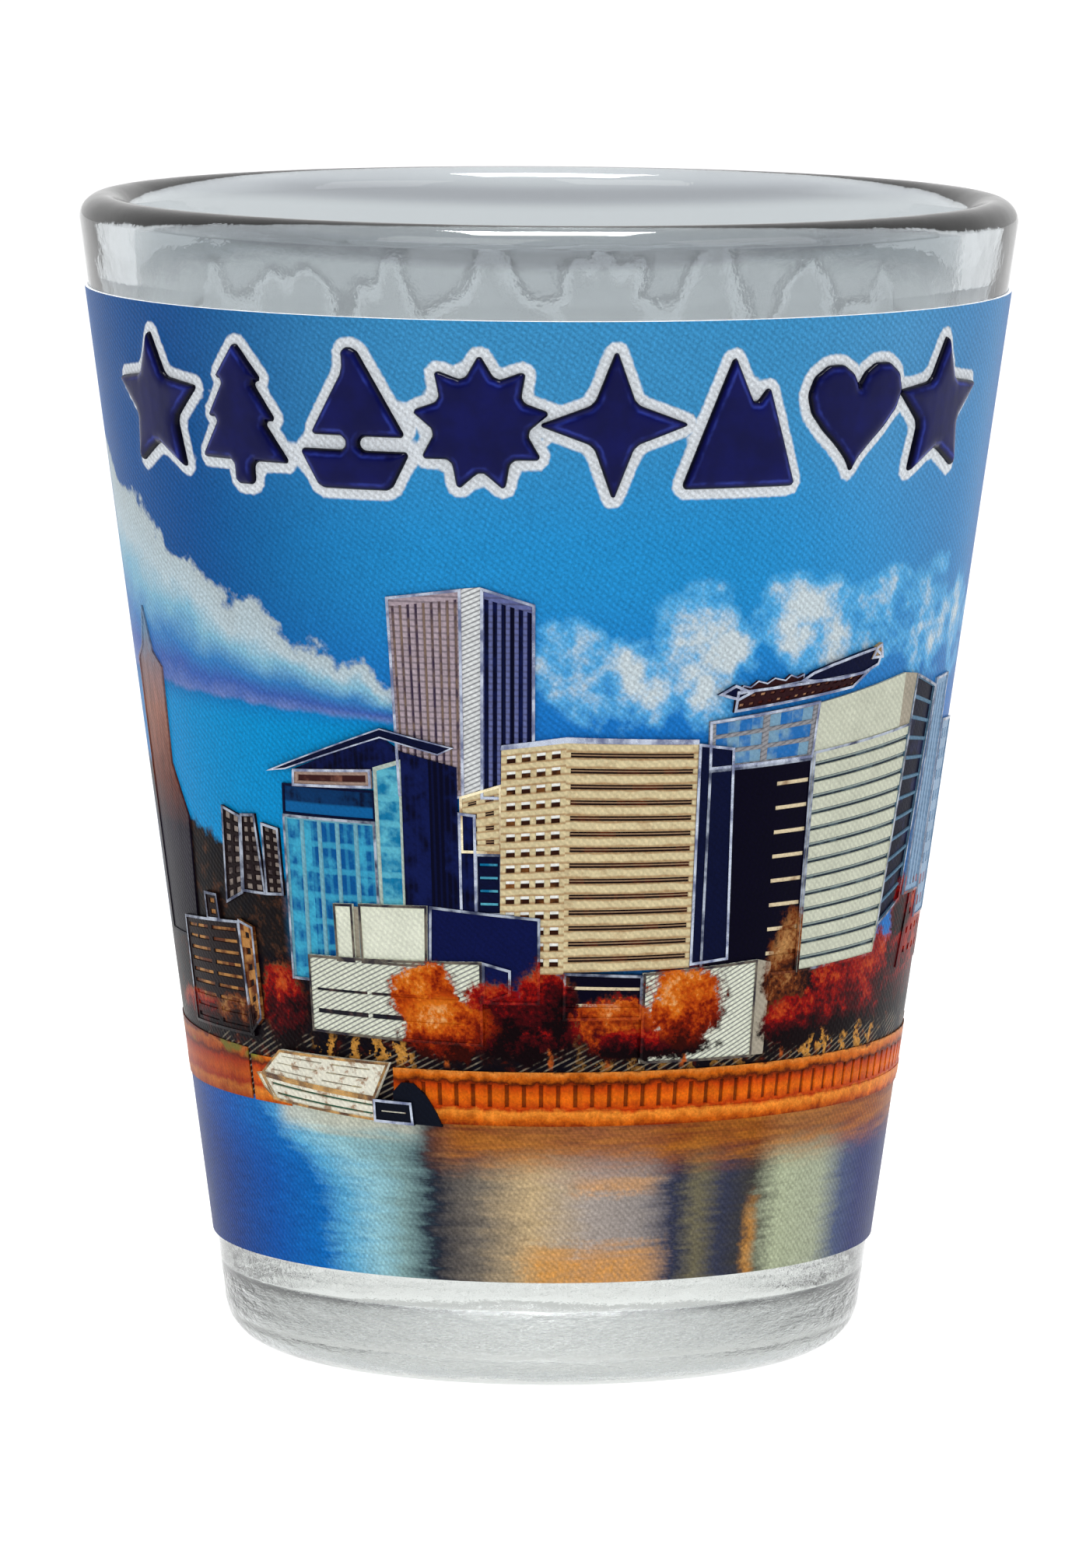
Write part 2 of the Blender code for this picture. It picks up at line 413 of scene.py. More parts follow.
def foliage(recipe, colour):
    """Paints the trees over a colour wherever they stand in front of it."""
    across = recipe.across()
    up = recipe.height()
    leaf = recipe.noise(recipe.body(), 3.6, 3.0, 0.65)
    lumps = recipe.noise(recipe.body(), 0.85, 4.0, 0.6)
    ragged = (lumps - 0.5) * 1.5 + (leaf - 0.5) * 0.9
    trunk = 0.0
    for place in TRUNKS:
        trunk = (across + (leaf - 0.5) * 0.3).within(place - 0.13, place + 0.13, 0.08) + trunk
    trunk = trunk.smaller(1.0) * up.within(17.1, 19.0, 0.2)
    colour = recipe.mix(trunk, colour, ink("a8501c"))
    cover = across * 0.0
    warmth = across * 0.0
    crown = across * 0.0
    for middle, half, warm in TREES:
        along = (across - middle[0]) / half[0]
        rise = (up - middle[1]) / half[1]
        clump = ((along * along + rise * rise) ** 0.5 + ragged * 0.8).step(1.12, 0.80)
        cover = cover.larger(clump)
        warmth = warmth + (warm - warmth) * clump
        crown = crown + (rise - along * 0.4 - crown) * clump
    light = leaf * 0.42 + lumps * 0.62 + crown * 0.15 - up.step(19.2, 17.4) * 0.10 - 0.04
    orange = recipe.ramp(
        light, ((0.28, "300602"), (0.40, "781802"), (0.50, "b04206"), (0.60, "cc6c16"), (0.72, "e0ac70"))
    )
    crimson = recipe.ramp(light, ((0.34, "0c0104"), (0.47, "420308"), (0.57, "880806"), (0.70, "b84818")))
    brown = recipe.ramp(light, ((0.32, "0a050a"), (0.44, "2c100a"), (0.54, "6a3212"), (0.70, "b0804c")))
    leaves = recipe.mix(warmth.step(0.15, 0.42), brown, crimson)
    leaves = recipe.mix(warmth.step(0.55, 0.85), leaves, orange)
    return recipe.mix(cover, colour, leaves)


# Making and rolling pieces


def deselect_all():
    if bpy.context.mode != "OBJECT":
        bpy.ops.object.mode_set(mode="OBJECT")
    bpy.ops.object.select_all(action="DESELECT")


def make_active(obj):
    deselect_all()
    obj.select_set(True)
    bpy.context.view_layer.objects.active = obj


def edit(obj, faces=None):
    """Goes into edit mode on a piece with all its faces, or those that pass a test, selected."""
    make_active(obj)
    mesh = obj.data
    bpy.context.tool_settings.mesh_select_mode = (False, False, True)
    mesh.vertices.foreach_set("select", [False] * len(mesh.vertices))
    mesh.edges.foreach_set("select", [False] * len(mesh.edges))
    mesh.polygons.foreach_set("select", [faces is None or bool(faces(face)) for face in mesh.polygons])
    bpy.ops.object.mode_set(mode="EDIT")


def give_slot(obj, index):
    """Gives the selected faces one of the piece's materials."""
    obj.active_material_index = index
    bpy.ops.object.material_slot_assign()


def roll_onto_film(obj, facing):
    """Turns a piece drawn flat, in metres of print, onto the film so that it faces an angle."""
    mesh = obj.data
    flat = np.empty(len(mesh.vertices) * 3)
    mesh.vertices.foreach_get("co", flat)
    flat = flat.reshape(-1, 3)
    angle = facing + flat[:, 0] / (PRINT_RADIUS * MM)
    radius = film_radius(flat[:, 2]) - flat[:, 1]
    rolled = np.column_stack((radius * np.sin(angle), -radius * np.cos(angle), flat[:, 2]))
    mesh.vertices.foreach_set("co", rolled.ravel())
    mesh.update()


def mark_print(obj):
    """Writes the flat piece's own place into its UV map, in millimetres of print."""
    mesh = obj.data
    layer = mesh.uv_layers.new(name="print")
    corners = np.empty(len(mesh.loops), dtype=np.int64)
    mesh.loops.foreach_get("vertex_index", corners)
    flat = np.empty(len(mesh.vertices) * 3)
    mesh.vertices.foreach_get("co", flat)
    flat = flat.reshape(-1, 3)[corners]
    layer.data.foreach_set("uv", (flat[:, (0, 2)] / MM).ravel())


def settle(piece, slot, *nodes):
    """Hands a finished piece to the frame."""
    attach(piece, BODY)
    if nodes:
        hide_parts(*nodes)


def smooth_shade(obj, degrees=35.0):
    make_active(obj)
    bpy.ops.object.shade_smooth_by_angle(angle=math.radians(degrees))


def both_sides(flat):
    """Rolls a flat piece onto the front of the film and a copy of it onto the back."""
    mark_print(flat)
    name = flat.name
    for side, facing in SIDES:
        piece = flat.copy()
        piece.data = flat.data.copy()
        piece.name = piece.data.name = f"{side}_{name}"
        bpy.context.scene.collection.objects.link(piece)
        roll_onto_film(piece, facing)
        smooth_shade(piece)
        settle(piece, "printed_film")
    bpy.data.objects.remove(flat)


# Facade cells: lists of (size, whether it is open), in any unit


def wall(size=1.0):
    return [(size, False)]


def opening(size):
    return [(size, True)]


def bays(count, pier, gap):
    """Piers and openings in turn, with a pier at both ends."""
    return (wall(pier) + opening(gap)) * count + wall(pier)


def refined(cells, length):
    """Cells as (share, open) that add up to 1, with none longer than the roll step."""
    total = sum(size for size, _ in cells)
    fine = []
    for size, is_open in cells:
        parts = max(1, math.ceil(size / total * length / ROLL_STEP))
        fine += [(size / total / parts, is_open)] * parts
    return fine


def facade(name, corners, across, up, materials, relief, framed=True):
    """A flat building face: a closed slab between four corners, with sunk openings and a raised outline.

    The corners are (s, z) in millimetres: bottom left, bottom right, top right, top left. The cells across
    run from left to right and the cells up from the bottom; a face is open where both of its cells are.
    """
    look = bpy.context.scene.shot_glass_skyline
    low_left, low_right, high_right, high_left = corners
    width = max(low_right[0] - low_left[0], high_right[0] - high_left[0])
    across = refined(across, width)
    lines_across = np.concatenate(([0.0], np.cumsum([share for share, _ in across])))
    total_up = sum(size for size, _ in up)
    lines_up = np.concatenate(([0.0], np.cumsum([size / total_up for size, _ in up])))

    deselect_all()
    bpy.ops.mesh.primitive_grid_add(
        x_subdivisions=len(across), y_subdivisions=len(up), size=1.0, location=(0.5, 0.0, 0.5),
        rotation=(math.pi / 2, 0.0, 0.0),
    )
    obj = bpy.context.object
    obj.name = obj.data.name = name
    bpy.ops.object.transform_apply(location=True, rotation=True, scale=True)
    for material in materials:
        obj.data.materials.append(material)
    uv = obj.data.uv_layers[0]
    uv.name = "cells"
    for vert in obj.data.vertices:
        right = lines_across[round(vert.co.x * len(across))]
        rise = lines_up[round(vert.co.z * len(up))]
        low = [a + (b - a) * right for a, b in zip(low_left, low_right)]
        high = [a + (b - a) * right for a, b in zip(high_left, high_right)]
        s, z = [a + (b - a) * rise for a, b in zip(low, high)]
        vert.co = (s * MM, TUCK, z * MM)
    for corner in uv.data:
        corner.uv = (corner.uv.x * len(across), corner.uv.y * len(up))

    edit(obj)
    bpy.ops.mesh.extrude_region_move(TRANSFORM_OT_translate={"value": (0, -relief - TUCK, 0)})
    if framed:
        give_slot(obj, 2)
        bpy.ops.mesh.inset(thickness=look.outline, depth=0.0, use_boundary=True, use_even_offset=True)
    give_slot(obj, 0)

    def is_front(face):
        return face.normal.y < -0.9 and face.center.y < -relief + 0.01 * MM

    def is_open(face):
        if not is_front(face) or face.material_index:
            return False
        middle = sum((np.array(uv_corner(obj, loop)) for loop in face.loop_indices), np.zeros(2))
        column, row = np.floor(middle / len(face.loop_indices)).astype(int)
        return across[min(column, len(across) - 1)][1] and up[min(row, len(up) - 1)][1]

    if framed:
        edit(obj, lambda face: is_front(face) and face.material_index == 2)
        bpy.ops.mesh.extrude_region_move(TRANSFORM_OT_translate={"value": (0, -look.outline_rise, 0)})
    edit(obj, is_open)
    bpy.ops.mesh.inset(thickness=REVEAL, depth=-look.recess, use_boundary=True, use_even_offset=True)
    give_slot(obj, 1)
    bpy.ops.object.mode_set(mode="OBJECT")
    return obj


def uv_corner(obj, loop):
    return obj.data.uv_layers["cells"].data[loop].uv


def plate(name, outline, materials, relief, framed=True, rim=None):
    """A flat shape with any outline, in millimetres of print: a closed slab with a raised outline."""
    look = bpy.context.scene.shot_glass_skyline
    deselect_all()
    bpy.ops.mesh.primitive_circle_add(vertices=len(outline), radius=1.0, fill_type="NGON")
    obj = bpy.context.object
    obj.name = obj.data.name = name
    for vert, (s, z) in zip(obj.data.vertices, outline):
        vert.co = (s * MM, TUCK, z * MM)
    for material in materials:
        obj.data.materials.append(material)
    obj.data.update()
    edit(obj)
    if obj.data.polygons[0].normal.y > 0:
        bpy.ops.mesh.flip_normals()
    bpy.ops.mesh.extrude_region_move(TRANSFORM_OT_translate={"value": (0, -relief - TUCK, 0)})
    if framed:
        give_slot(obj, 2)
        bpy.ops.mesh.inset(thickness=rim or look.outline, depth=0.0, use_boundary=True, use_even_offset=True)
        give_slot(obj, 0)
        edit(obj, lambda face: face.normal.y < -0.9 and face.material_index == 2)
        bpy.ops.mesh.extrude_region_move(TRANSFORM_OT_translate={"value": (0, -look.outline_rise, 0)})
    cut_for_rolling(obj, min(s for s, _ in outline), max(s for s, _ in outline))
    return obj


def cut_for_rolling(obj, left, right):
    """Cuts a flat piece into upright strips, so that it can follow the round wall."""
    edit(obj)
    strips = max(2, math.ceil((right - left) / ROLL_STEP))
    for strip in range(1, strips):
        s = left + (right - left) * strip / strips
        bpy.ops.mesh.select_all(action="SELECT")
        bpy.ops.mesh.bisect(plane_co=(s * MM, 0, 0), plane_no=(1, 0, 0), threshold=MERGE)
    bpy.ops.object.mode_set(mode="OBJECT")


# The tumbler


def arc(centre, radii, start, end, steps):
    """Points of an elliptical arc from start to end, in degrees, both ends included."""
    points = []
    for step in range(steps + 1):
        angle = math.radians(start + (end - start) * step / steps)
        points.append((centre[0] + radii[0] * math.cos(angle), centre[1] + radii[1] * math.sin(angle)))
    return points


def tumbler_profile(look):
    """(radius, height) from the middle of the cavity's floor, over the lip, to the underside's middle."""
    glue = 0.2 * MM  # from the glass's wall to the film's outer face
    lip_height = GLASS_HEIGHT - look.lip_round
    lip_outer = film_radius(lip_height) - glue
    lip_inner = lip_outer - look.lip_wall
    slope = (lip_inner - look.cavity) / (lip_height - look.floor)
    wall_at_fillet = look.cavity + slope * look.fillet
    crown = 0.5 * MM  # rise of the cavity's floor in its middle
    floor = [(look.cavity * t, look.floor + crown * (1 - t * t)) for t in (0.0, 0.15, 0.3, 0.45, 0.6, 0.7)]
    fillet_centre = (wall_at_fillet - look.fillet, look.floor + look.fillet)
    fillet = arc(fillet_centre, (look.fillet, look.fillet), -90, 0, 16)
    lip = arc(((lip_inner + lip_outer) / 2, lip_height), (look.lip_wall / 2, look.lip_round), 180, 0, 28)
    heel_run = film_radius(look.heel) - glue - look.foot_ring
    heel = arc((look.foot_ring, look.heel), (heel_run, look.heel), 0, -90, 18)
    ring_run = look.foot_ring_inner - look.foot_ring
    ring = [(look.foot_ring + ring_run * t, 0.0) for t in (0.2, 0.4, 0.6, 0.8, 1.0)]
    inward = (0.93, 0.82, 0.68, 0.5, 0.3, 0.12, 0.0)
    push_up = [(look.foot_ring_inner * t, look.push_up * (1 - t * t)) for t in inward]
    return floor + fillet + lip + heel + ring + push_up


def glass_material(look):
    """Clear glass, greyer in the base, with painted shade in the lip (a greyer tint and a darker ring under
    the rim), wavy in the wall and pitted over the heel.
    """
    recipe = Recipe("clear_glass")
    waves = recipe.noise(recipe.body(), 0.16, 2.0, 0.4)
    seeds = recipe.noise(recipe.body(), 1.6, 3.0, 0.6)
    height = waves + seeds * 0.05
    up = recipe.node("ShaderNodeSeparateXYZ", {}, {0: recipe.body()}, 2)
    tint = recipe.mix(up.step(8.0, 5.0), look.tint, look.tint_thick)
    # The lip's greyer tint is painted shade, for the mouth seen through the lip
    tint = recipe.mix(up.step(53.5, 55.5), tint, look.lip_shade_tint)
    side = recipe.node("ShaderNodeSeparateXYZ", {}, {0: recipe.body()}, 0)
    # Painted shade: a darker ring under the lip, higher at the sides than at the front and the back, standing
    # in for the dark mouth seen through the lip
    painted_lip_shade = (up - side * side * 0.0035).within(57.9, 58.9, 0.35)
    tint = recipe.mix(painted_lip_shade * 0.6, tint, ink("84878e"))
    flat = recipe.vector("MULTIPLY", recipe.body(), {1: (0.55, 0.55, 2.2)})
    pitted = recipe.noise(flat, 1.0, 4.0, 0.7)
    height = height + pitted * up.within(2.0, 3.8, 0.5) * 2.4 + pitted * up.within(0.5, 1.5, 0.3) * 1.2
    return recipe.finish(
        Base_Color=tint, Roughness=seeds * 0.02, IOR=1.5, Transmission_Weight=1.0,
        Normal=recipe.bump(height, 0.25 * MM, 0.5),
    )


class SHOTGLASS_OT_tumbler(Operator):
    """Turn the pressed glass and stipple its foot ring"""

    bl_idname = "shotglass.tumbler"
    bl_label = "Tumbler"

    def execute(self, context):
        look = context.scene.shot_glass_tumbler
        profile = tumbler_profile(look)
        deselect_all()
        bpy.ops.mesh.primitive_plane_add(size=1.0)
        obj = context.object
        obj.name = obj.data.name = "tumbler"
        edit(obj)
        bpy.ops.mesh.select_mode(type="VERT")
        bpy.ops.mesh.merge(type="CENTER")
        bpy.ops.mesh.select_all(action="SELECT")
        bpy.ops.transform.translate(value=(profile[0][0], 0.0, profile[0][1]))
        for here, there in zip(profile, profile[1:]):
            step = (there[0] - here[0], 0.0, there[1] - here[1])
            bpy.ops.mesh.extrude_region_move(TRANSFORM_OT_translate={"value": step})
        bpy.ops.mesh.select_all(action="SELECT")
        bpy.ops.mesh.spin(steps=SPIN_STEPS, angle=2 * math.pi, center=(0, 0, 0), axis=(0, 0, 1))
        bpy.ops.mesh.select_all(action="SELECT")
        bpy.ops.mesh.remove_doubles(threshold=0.002 * MM)
        bpy.ops.mesh.normals_make_consistent(inside=False)
        bpy.ops.object.mode_set(mode="OBJECT")
        self.stipple(obj, look)
        obj.data.materials.append(glass_material(look))
        smooth_shade(obj, 50.0)
        settle(obj, "clear_glass", "glass_body")
        return {"FINISHED"}

    def stipple(self, obj, look):
        """Presses short ribs into the ring that the glass stands on."""
        middle = (look.foot_ring + look.foot_ring_inner) / 2
        half = (look.foot_ring - look.foot_ring_inner) / 2
        for vert in obj.data.vertices:
            radius = math.hypot(vert.co.x, vert.co.y)
            if vert.co.z < 0.3 * MM and abs(radius - middle) < half:
                angle = math.atan2(vert.co.x, -vert.co.y)
                fade = 1 - ((radius - middle) / half) ** 2
                ripple = 0.5 + 0.5 * math.cos(look.ribs * angle + 3 * math.sin(5 * angle))
                vert.co.z += look.rib_depth * ripple * fade


# The film


def motif_outline(node, facing):
    """The base outline of a raised motif as loose segments: true millimetres from the motif row's middle."""
    bm = bmesh.new()
    bm.from_mesh(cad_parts[node].data)
    bmesh.ops.remove_doubles(bm, verts=bm.verts, dist=MERGE)
    low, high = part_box(node)
    radius = film_radius((low[2] + high[2]) / 2)
    segments = []
    for edge in bm.edges:
        floor_faces = [face for face in edge.link_faces if all(on_film(vert) for vert in face.verts)]
        if len(edge.link_faces) == 2 and len(floor_faces) == 1 and all(on_film(vert) for vert in edge.verts):
            segments.append([flat_place(vert.co, facing, radius) for vert in edge.verts])
    bm.free()
    return np.array(segments) / MM


def on_film(vert):
    return math.hypot(vert.co.x, vert.co.y) - film_radius(vert.co.z) < BOND


def flat_place(place, facing, radius):
    """Across and up, in metres, of a place on the glass that is rolled flat at a radius."""
    angle = (math.atan2(place.x, -place.y) - facing + math.pi) % (2 * math.pi) - math.pi
    return (angle * radius, place.z)


def signed_distance(points, segments):
    """Distance of each point to an outline, negative inside."""
    start = segments[:, 0]
    run = segments[:, 1] - start
    nearest = np.full(len(points), np.inf)
    inside = np.zeros(len(points), dtype=bool)
    for first, step in zip(start, run):
        from_first = points - first
        share = np.clip(from_first @ step / (step @ step), 0.0, 1.0)
        nearest = np.minimum(nearest, np.hypot(*(from_first - share[:, None] * step).T))
        if step[1] != 0.0:
            crossing = from_first[:, 1] / step[1]
            to_right = first[0] + crossing * step[0] > points[:, 0]
            inside ^= (crossing >= 0.0) & (crossing < 1.0) & to_right
    return np.where(inside, -nearest, nearest)


def motif_nodes(side):
    return [f"{side}_motif_{place + 1}_{name}" for place, name in enumerate(MOTIF_NAMES)]


def film_material(look):
    """Sky, clouds, trees and water, drawn over the picture's two axes."""
    recipe = Recipe("printed_film")
    across = recipe.across()
    up = recipe.height()
    colour = sky(recipe, look, across, up)
    colour = clouds(recipe, look, across, up, colour)
    colour = shore(recipe, across, up, colour)
    colour = foliage(recipe, colour)
    colour = water(recipe, across, up, colour)
    edge = recipe.node("ShaderNodeAttribute", {"attribute_name": "motif_edge"}, {}, "Fac")
    fray = recipe.noise(recipe.body(), 4.0, 2.0)
    halo = (edge + (fray - 0.5) * 0.12).step(look.halo + 0.14, look.halo - 0.02)
    colour = recipe.mix(halo, colour, look.halo_white)
    return satin(recipe, colour, twill=1.4, grain=0.8)


def sky(recipe, look, across, up):
    """Bands of blue, with painted shade on the left and at both ends of the picture, where the film turns
    away round the glass.
    """
    colour = recipe.mix(up.step(52.0, 43.0), look.sky_high, look.sky_mid)
    colour = recipe.mix(up.step(43.0, 34.0), colour, look.sky_low)
    pale = across.step(8.0, 30.0) * up.step(30.0, 50.0)
    colour = recipe.mix(pale * 0.5, colour, ink("7aa9d0"))
    # Painted shade: darker towards the left and the right, where the film turns away from the light
    left = across.step(-4.0, -20.0) * up.step(33.0, 36.0)
    colour = recipe.mix(left * 0.85, colour, ink("073c80"))
    right = across.step(15.0, 24.0) * up.step(33.0, 36.0)
    colour = recipe.mix(right * 0.5, colour, ink("2a6ea8"))
    under = (up + across * 0.03).step(36.0, 33.5) * across.step(-4.0, -8.5)
    colour = recipe.mix(under, colour, look.sky_teal)
    # Painted shade: darkest at both ends of the picture
    ends = (across * across).step(26.0**2, PICTURE_HALF**2)
    return recipe.mix(ends, colour, ink("1a5ea4"))


# Where the loose clouds on the right gather: middle and half size in millimetres, and how dense they are
PUFFS = (
    ((1.2, 38.0), (2.2, 2.4), 0.75),
    ((4.4, 36.8), (3.8, 2.6), 0.95),
    ((7.4, 38.2), (3.0, 3.6), 1.0),
    ((12.0, 40.4), (2.6, 1.9), 0.85),
    ((14.0, 39.4), (2.8, 2.6), 1.0),
    ((18.2, 39.6), (3.2, 2.6), 0.8),
    ((22.8, 39.2), (3.0, 3.4), 0.8),
    ((27.2, 38.4), (3.0, 3.2), 0.6),
)


def clouds(recipe, look, across, up, colour):
    """A long bank that runs down to the right on the left side, and loose puffs on the right."""
    body = recipe.body()
    lumps = recipe.noise(body, 0.30, 4.0, 0.55)
    fine = recipe.noise(body, 0.8, 4.0, 0.6)
    top_line = 36.6 + (across + 7.6) * -0.48 + (lumps - 0.5) * 5.0 + (fine - 0.5) * 2.4
    foot_line = 34.8 + (across + 7.6) * -0.045 + (fine - 0.5) * 0.6
    bank = (up - foot_line).step(-0.15, 0.2) * (up - top_line).step(0.25, -0.35)
    bank = bank * across.within(-30.0, -6.7, 1.3)
    depth = (up - foot_line) / (top_line - foot_line).larger(1.5)
    lit = recipe.ramp(
        depth + (fine - 0.5) * 0.35,
        (
            (0.0, "6478b2"), (0.14, "3a5ea8"), (0.30, "3478b6"), (0.52, "7cb0c8"), (0.70, "b0c2ca"),
            (1.0, "acb8bc"),
        ),
    )
    colour = recipe.mix(bank, colour, lit)
    wisps = recipe.noise(body, 0.42, 5.0, 0.62)
    gather = across * 0.0
    for middle, half, density in PUFFS:
        along = (across - middle[0]) / half[0]
        rise = (up - middle[1]) / half[1]
        gather = gather.larger((along * along + rise * rise).step(1.5, 0.0) * density)
    puff = gather * 0.85 + (wisps - 0.5) * 2.6 + (fine - 0.5) * 0.5
    gather = gather.step(0.0, 0.25)
    colour = recipe.mix(puff.step(0.10, 0.62) * gather * 0.8, colour, look.cloud_shade)
    return recipe.mix(puff.step(0.48, 1.05) * gather * 0.95, colour, look.cloud)


def shore(recipe, across, up, colour):
    """The wooded hill, the dark street behind the trees, and the stalls on the quay."""
    body = recipe.body()
    fine = recipe.noise(body, 1.4, 4.0, 0.65)
    broad = recipe.noise(body, 0.4, 2.0)
    left_hill = 27.6 + (across + 19.0) * -0.32 + (fine - 0.5) * 1.6
    hill = (up - left_hill).step(0.3, -0.3) * across.step(-13.0, -15.0) * across.step(-33.0, -28.5)
    dark = recipe.ramp(fine * 0.8 + broad * 0.2, ((0.36, "07070f"), (0.54, "17100f"), (0.66, "4a2c1c")))
    colour = recipe.mix(hill, colour, dark)
    street = (up + (fine - 0.5) * 1.2).step(22.6, 21.4)
    dusk = recipe.ramp(fine, ((0.40, "04030e"), (0.54, "10060a"), (0.66, "441006"), (0.78, "a05c22")))
    colour = recipe.mix(street, colour, dusk)
    hatch = (across * 10.0 - up * 20.0).sine().step(0.3, 0.9) * up.step(18.6, 17.8) * broad.step(0.44, 0.5)
    colour = recipe.mix(hatch * 0.35, colour, ink("b4a890"))
    stalls = (across * 4.0 + fine * 14.0).sine().step(0.1, 0.9) * (up - fine * 2.4).within(15.7, 17.1, 0.35)
    place = across.within(-13.2, -7.2, 0.6) + across.within(15.0, 23.0, 0.8)
    place = place + across.within(2.0, 12.0, 1.0) * 0.4
    return recipe.mix((stalls * place).smaller(1.0) * 0.85, colour, ink("c88c3c"))


def water(recipe, across, up, colour):
    """Upright reflections broken by level ripples, pools of gold, and the lit wall's glow at the top."""
    ripple = recipe.noise(recipe.stretched(0.20, 2.2), 1.0, 4.0, 0.62)
    fine = recipe.noise(recipe.stretched(0.9, 4.0), 1.0, 3.0, 0.65)
    grains = recipe.noise(recipe.body(), 3.2, 3.0, 0.7)
    lean = up.step(10.0, 14.0) * across.step(-7.0, -14.0) * 4.2
    drift = across + lean + (ripple - 0.5) * 2.8 + (fine - 0.5) * 0.8 + (grains - 0.5) * 1.2
    bands = recipe.ramp(
        (drift + 32.0) / 64.0,
        (
            (0.00, "1c2c64"), (0.14, "123a80"), (0.22, "0852a4"), (0.28, "0a66b4"), (0.31, "58a4cc"),
            (0.345, "8fc0cc"), (0.372, "7c9c9c"), (0.40, "1c2434"), (0.44, "70685e"), (0.49, "bfa67e"),
            (0.545, "a39890"), (0.59, "908884"), (0.62, "2a3048"), (0.645, "6c6650"), (0.67, "34384c"),
            (0.70, "3c3a38"), (0.735, "a9b193"), (0.79, "a3aa92"), (0.83, "4c5878"), (0.87, "30386a"),
            (1.00, "263064"),
        ),
    )
    rough = (ripple - 0.5) * 2.2 + (grains - 0.5) * 1.6
    pools = (up + rough).within(3.0, 7.6, 0.7) * (across + rough).within(-1.0, 6.6, 1.2)
    pools = pools + (up + rough * 0.6).within(10.5, 11.3, 0.4) * (across + rough).within(1.8, 6.4, 1.0) * 0.7
    pools = pools + (up + rough).step(10.4, 8.6) * (across + rough * 0.4).within(12.6, 13.4, 0.4) * 0.8
    bands = recipe.mix((pools * (0.30 + grains * 0.9)).smaller(1.0), bands, ink("d09040"))
    glow = (up + (fine - 0.5) * 1.2 + (ripple - 0.5)).step(10.9, 13.2) * across.step(-7.5, -4.5)
    bands = recipe.mix(glow * 0.9, bands, recipe.mix(ripple.step(0.25, 0.75), ink("74320e"), ink("b06818")))
    hull = (up + (ripple - 0.5) * 1.4).step(12.6, 13.8) * across.within(-16.4, -7.2, 0.8)
    bands = recipe.mix(hull * 0.8, bands, ink("c8c6b4"))
    bands = recipe.shaded(bands, 0.42 + fine * 0.6 + grains * 0.5)
    return recipe.mix(up.step(14.5, 14.2), colour, bands)


def foil_material(look):
    """The bare back of the film. It glows a little, for the light that the room sends through the glass."""
    recipe = Recipe("bare_foil")
    edge = recipe.node("ShaderNodeAttribute", {"attribute_name": "motif_edge"}, {}, "Fac")
    crinkle = recipe.noise(recipe.body(), 0.5, 3.0)
    grain = recipe.noise(recipe.body(), 7.0, 2.0)
    tone = recipe.mix(crinkle, ink("e6e8ea"), look.foil)
    ridge = edge.within(-0.1, 0.5, 0.15)
    height = ridge * 0.6 + crinkle * 0.5 + grain * 0.08
    rough = 0.34 + grain * 0.12
    normal = recipe.bump(height, 0.2 * MM, 1.0)
    # Painted light in the glow: brighter on the pressed ridge at each motif's edge and darker at the foot of
    # its slope
    glow = recipe.shaded(tone, 0.8 + ridge * 0.4 - edge.within(0.5, 0.9, 0.1) * 0.5)
    return recipe.finish(
        Base_Color=tone, Roughness=rough, Metallic=0.1, Normal=normal, Emission_Color=glow,
        Emission_Strength=0.5,
    )


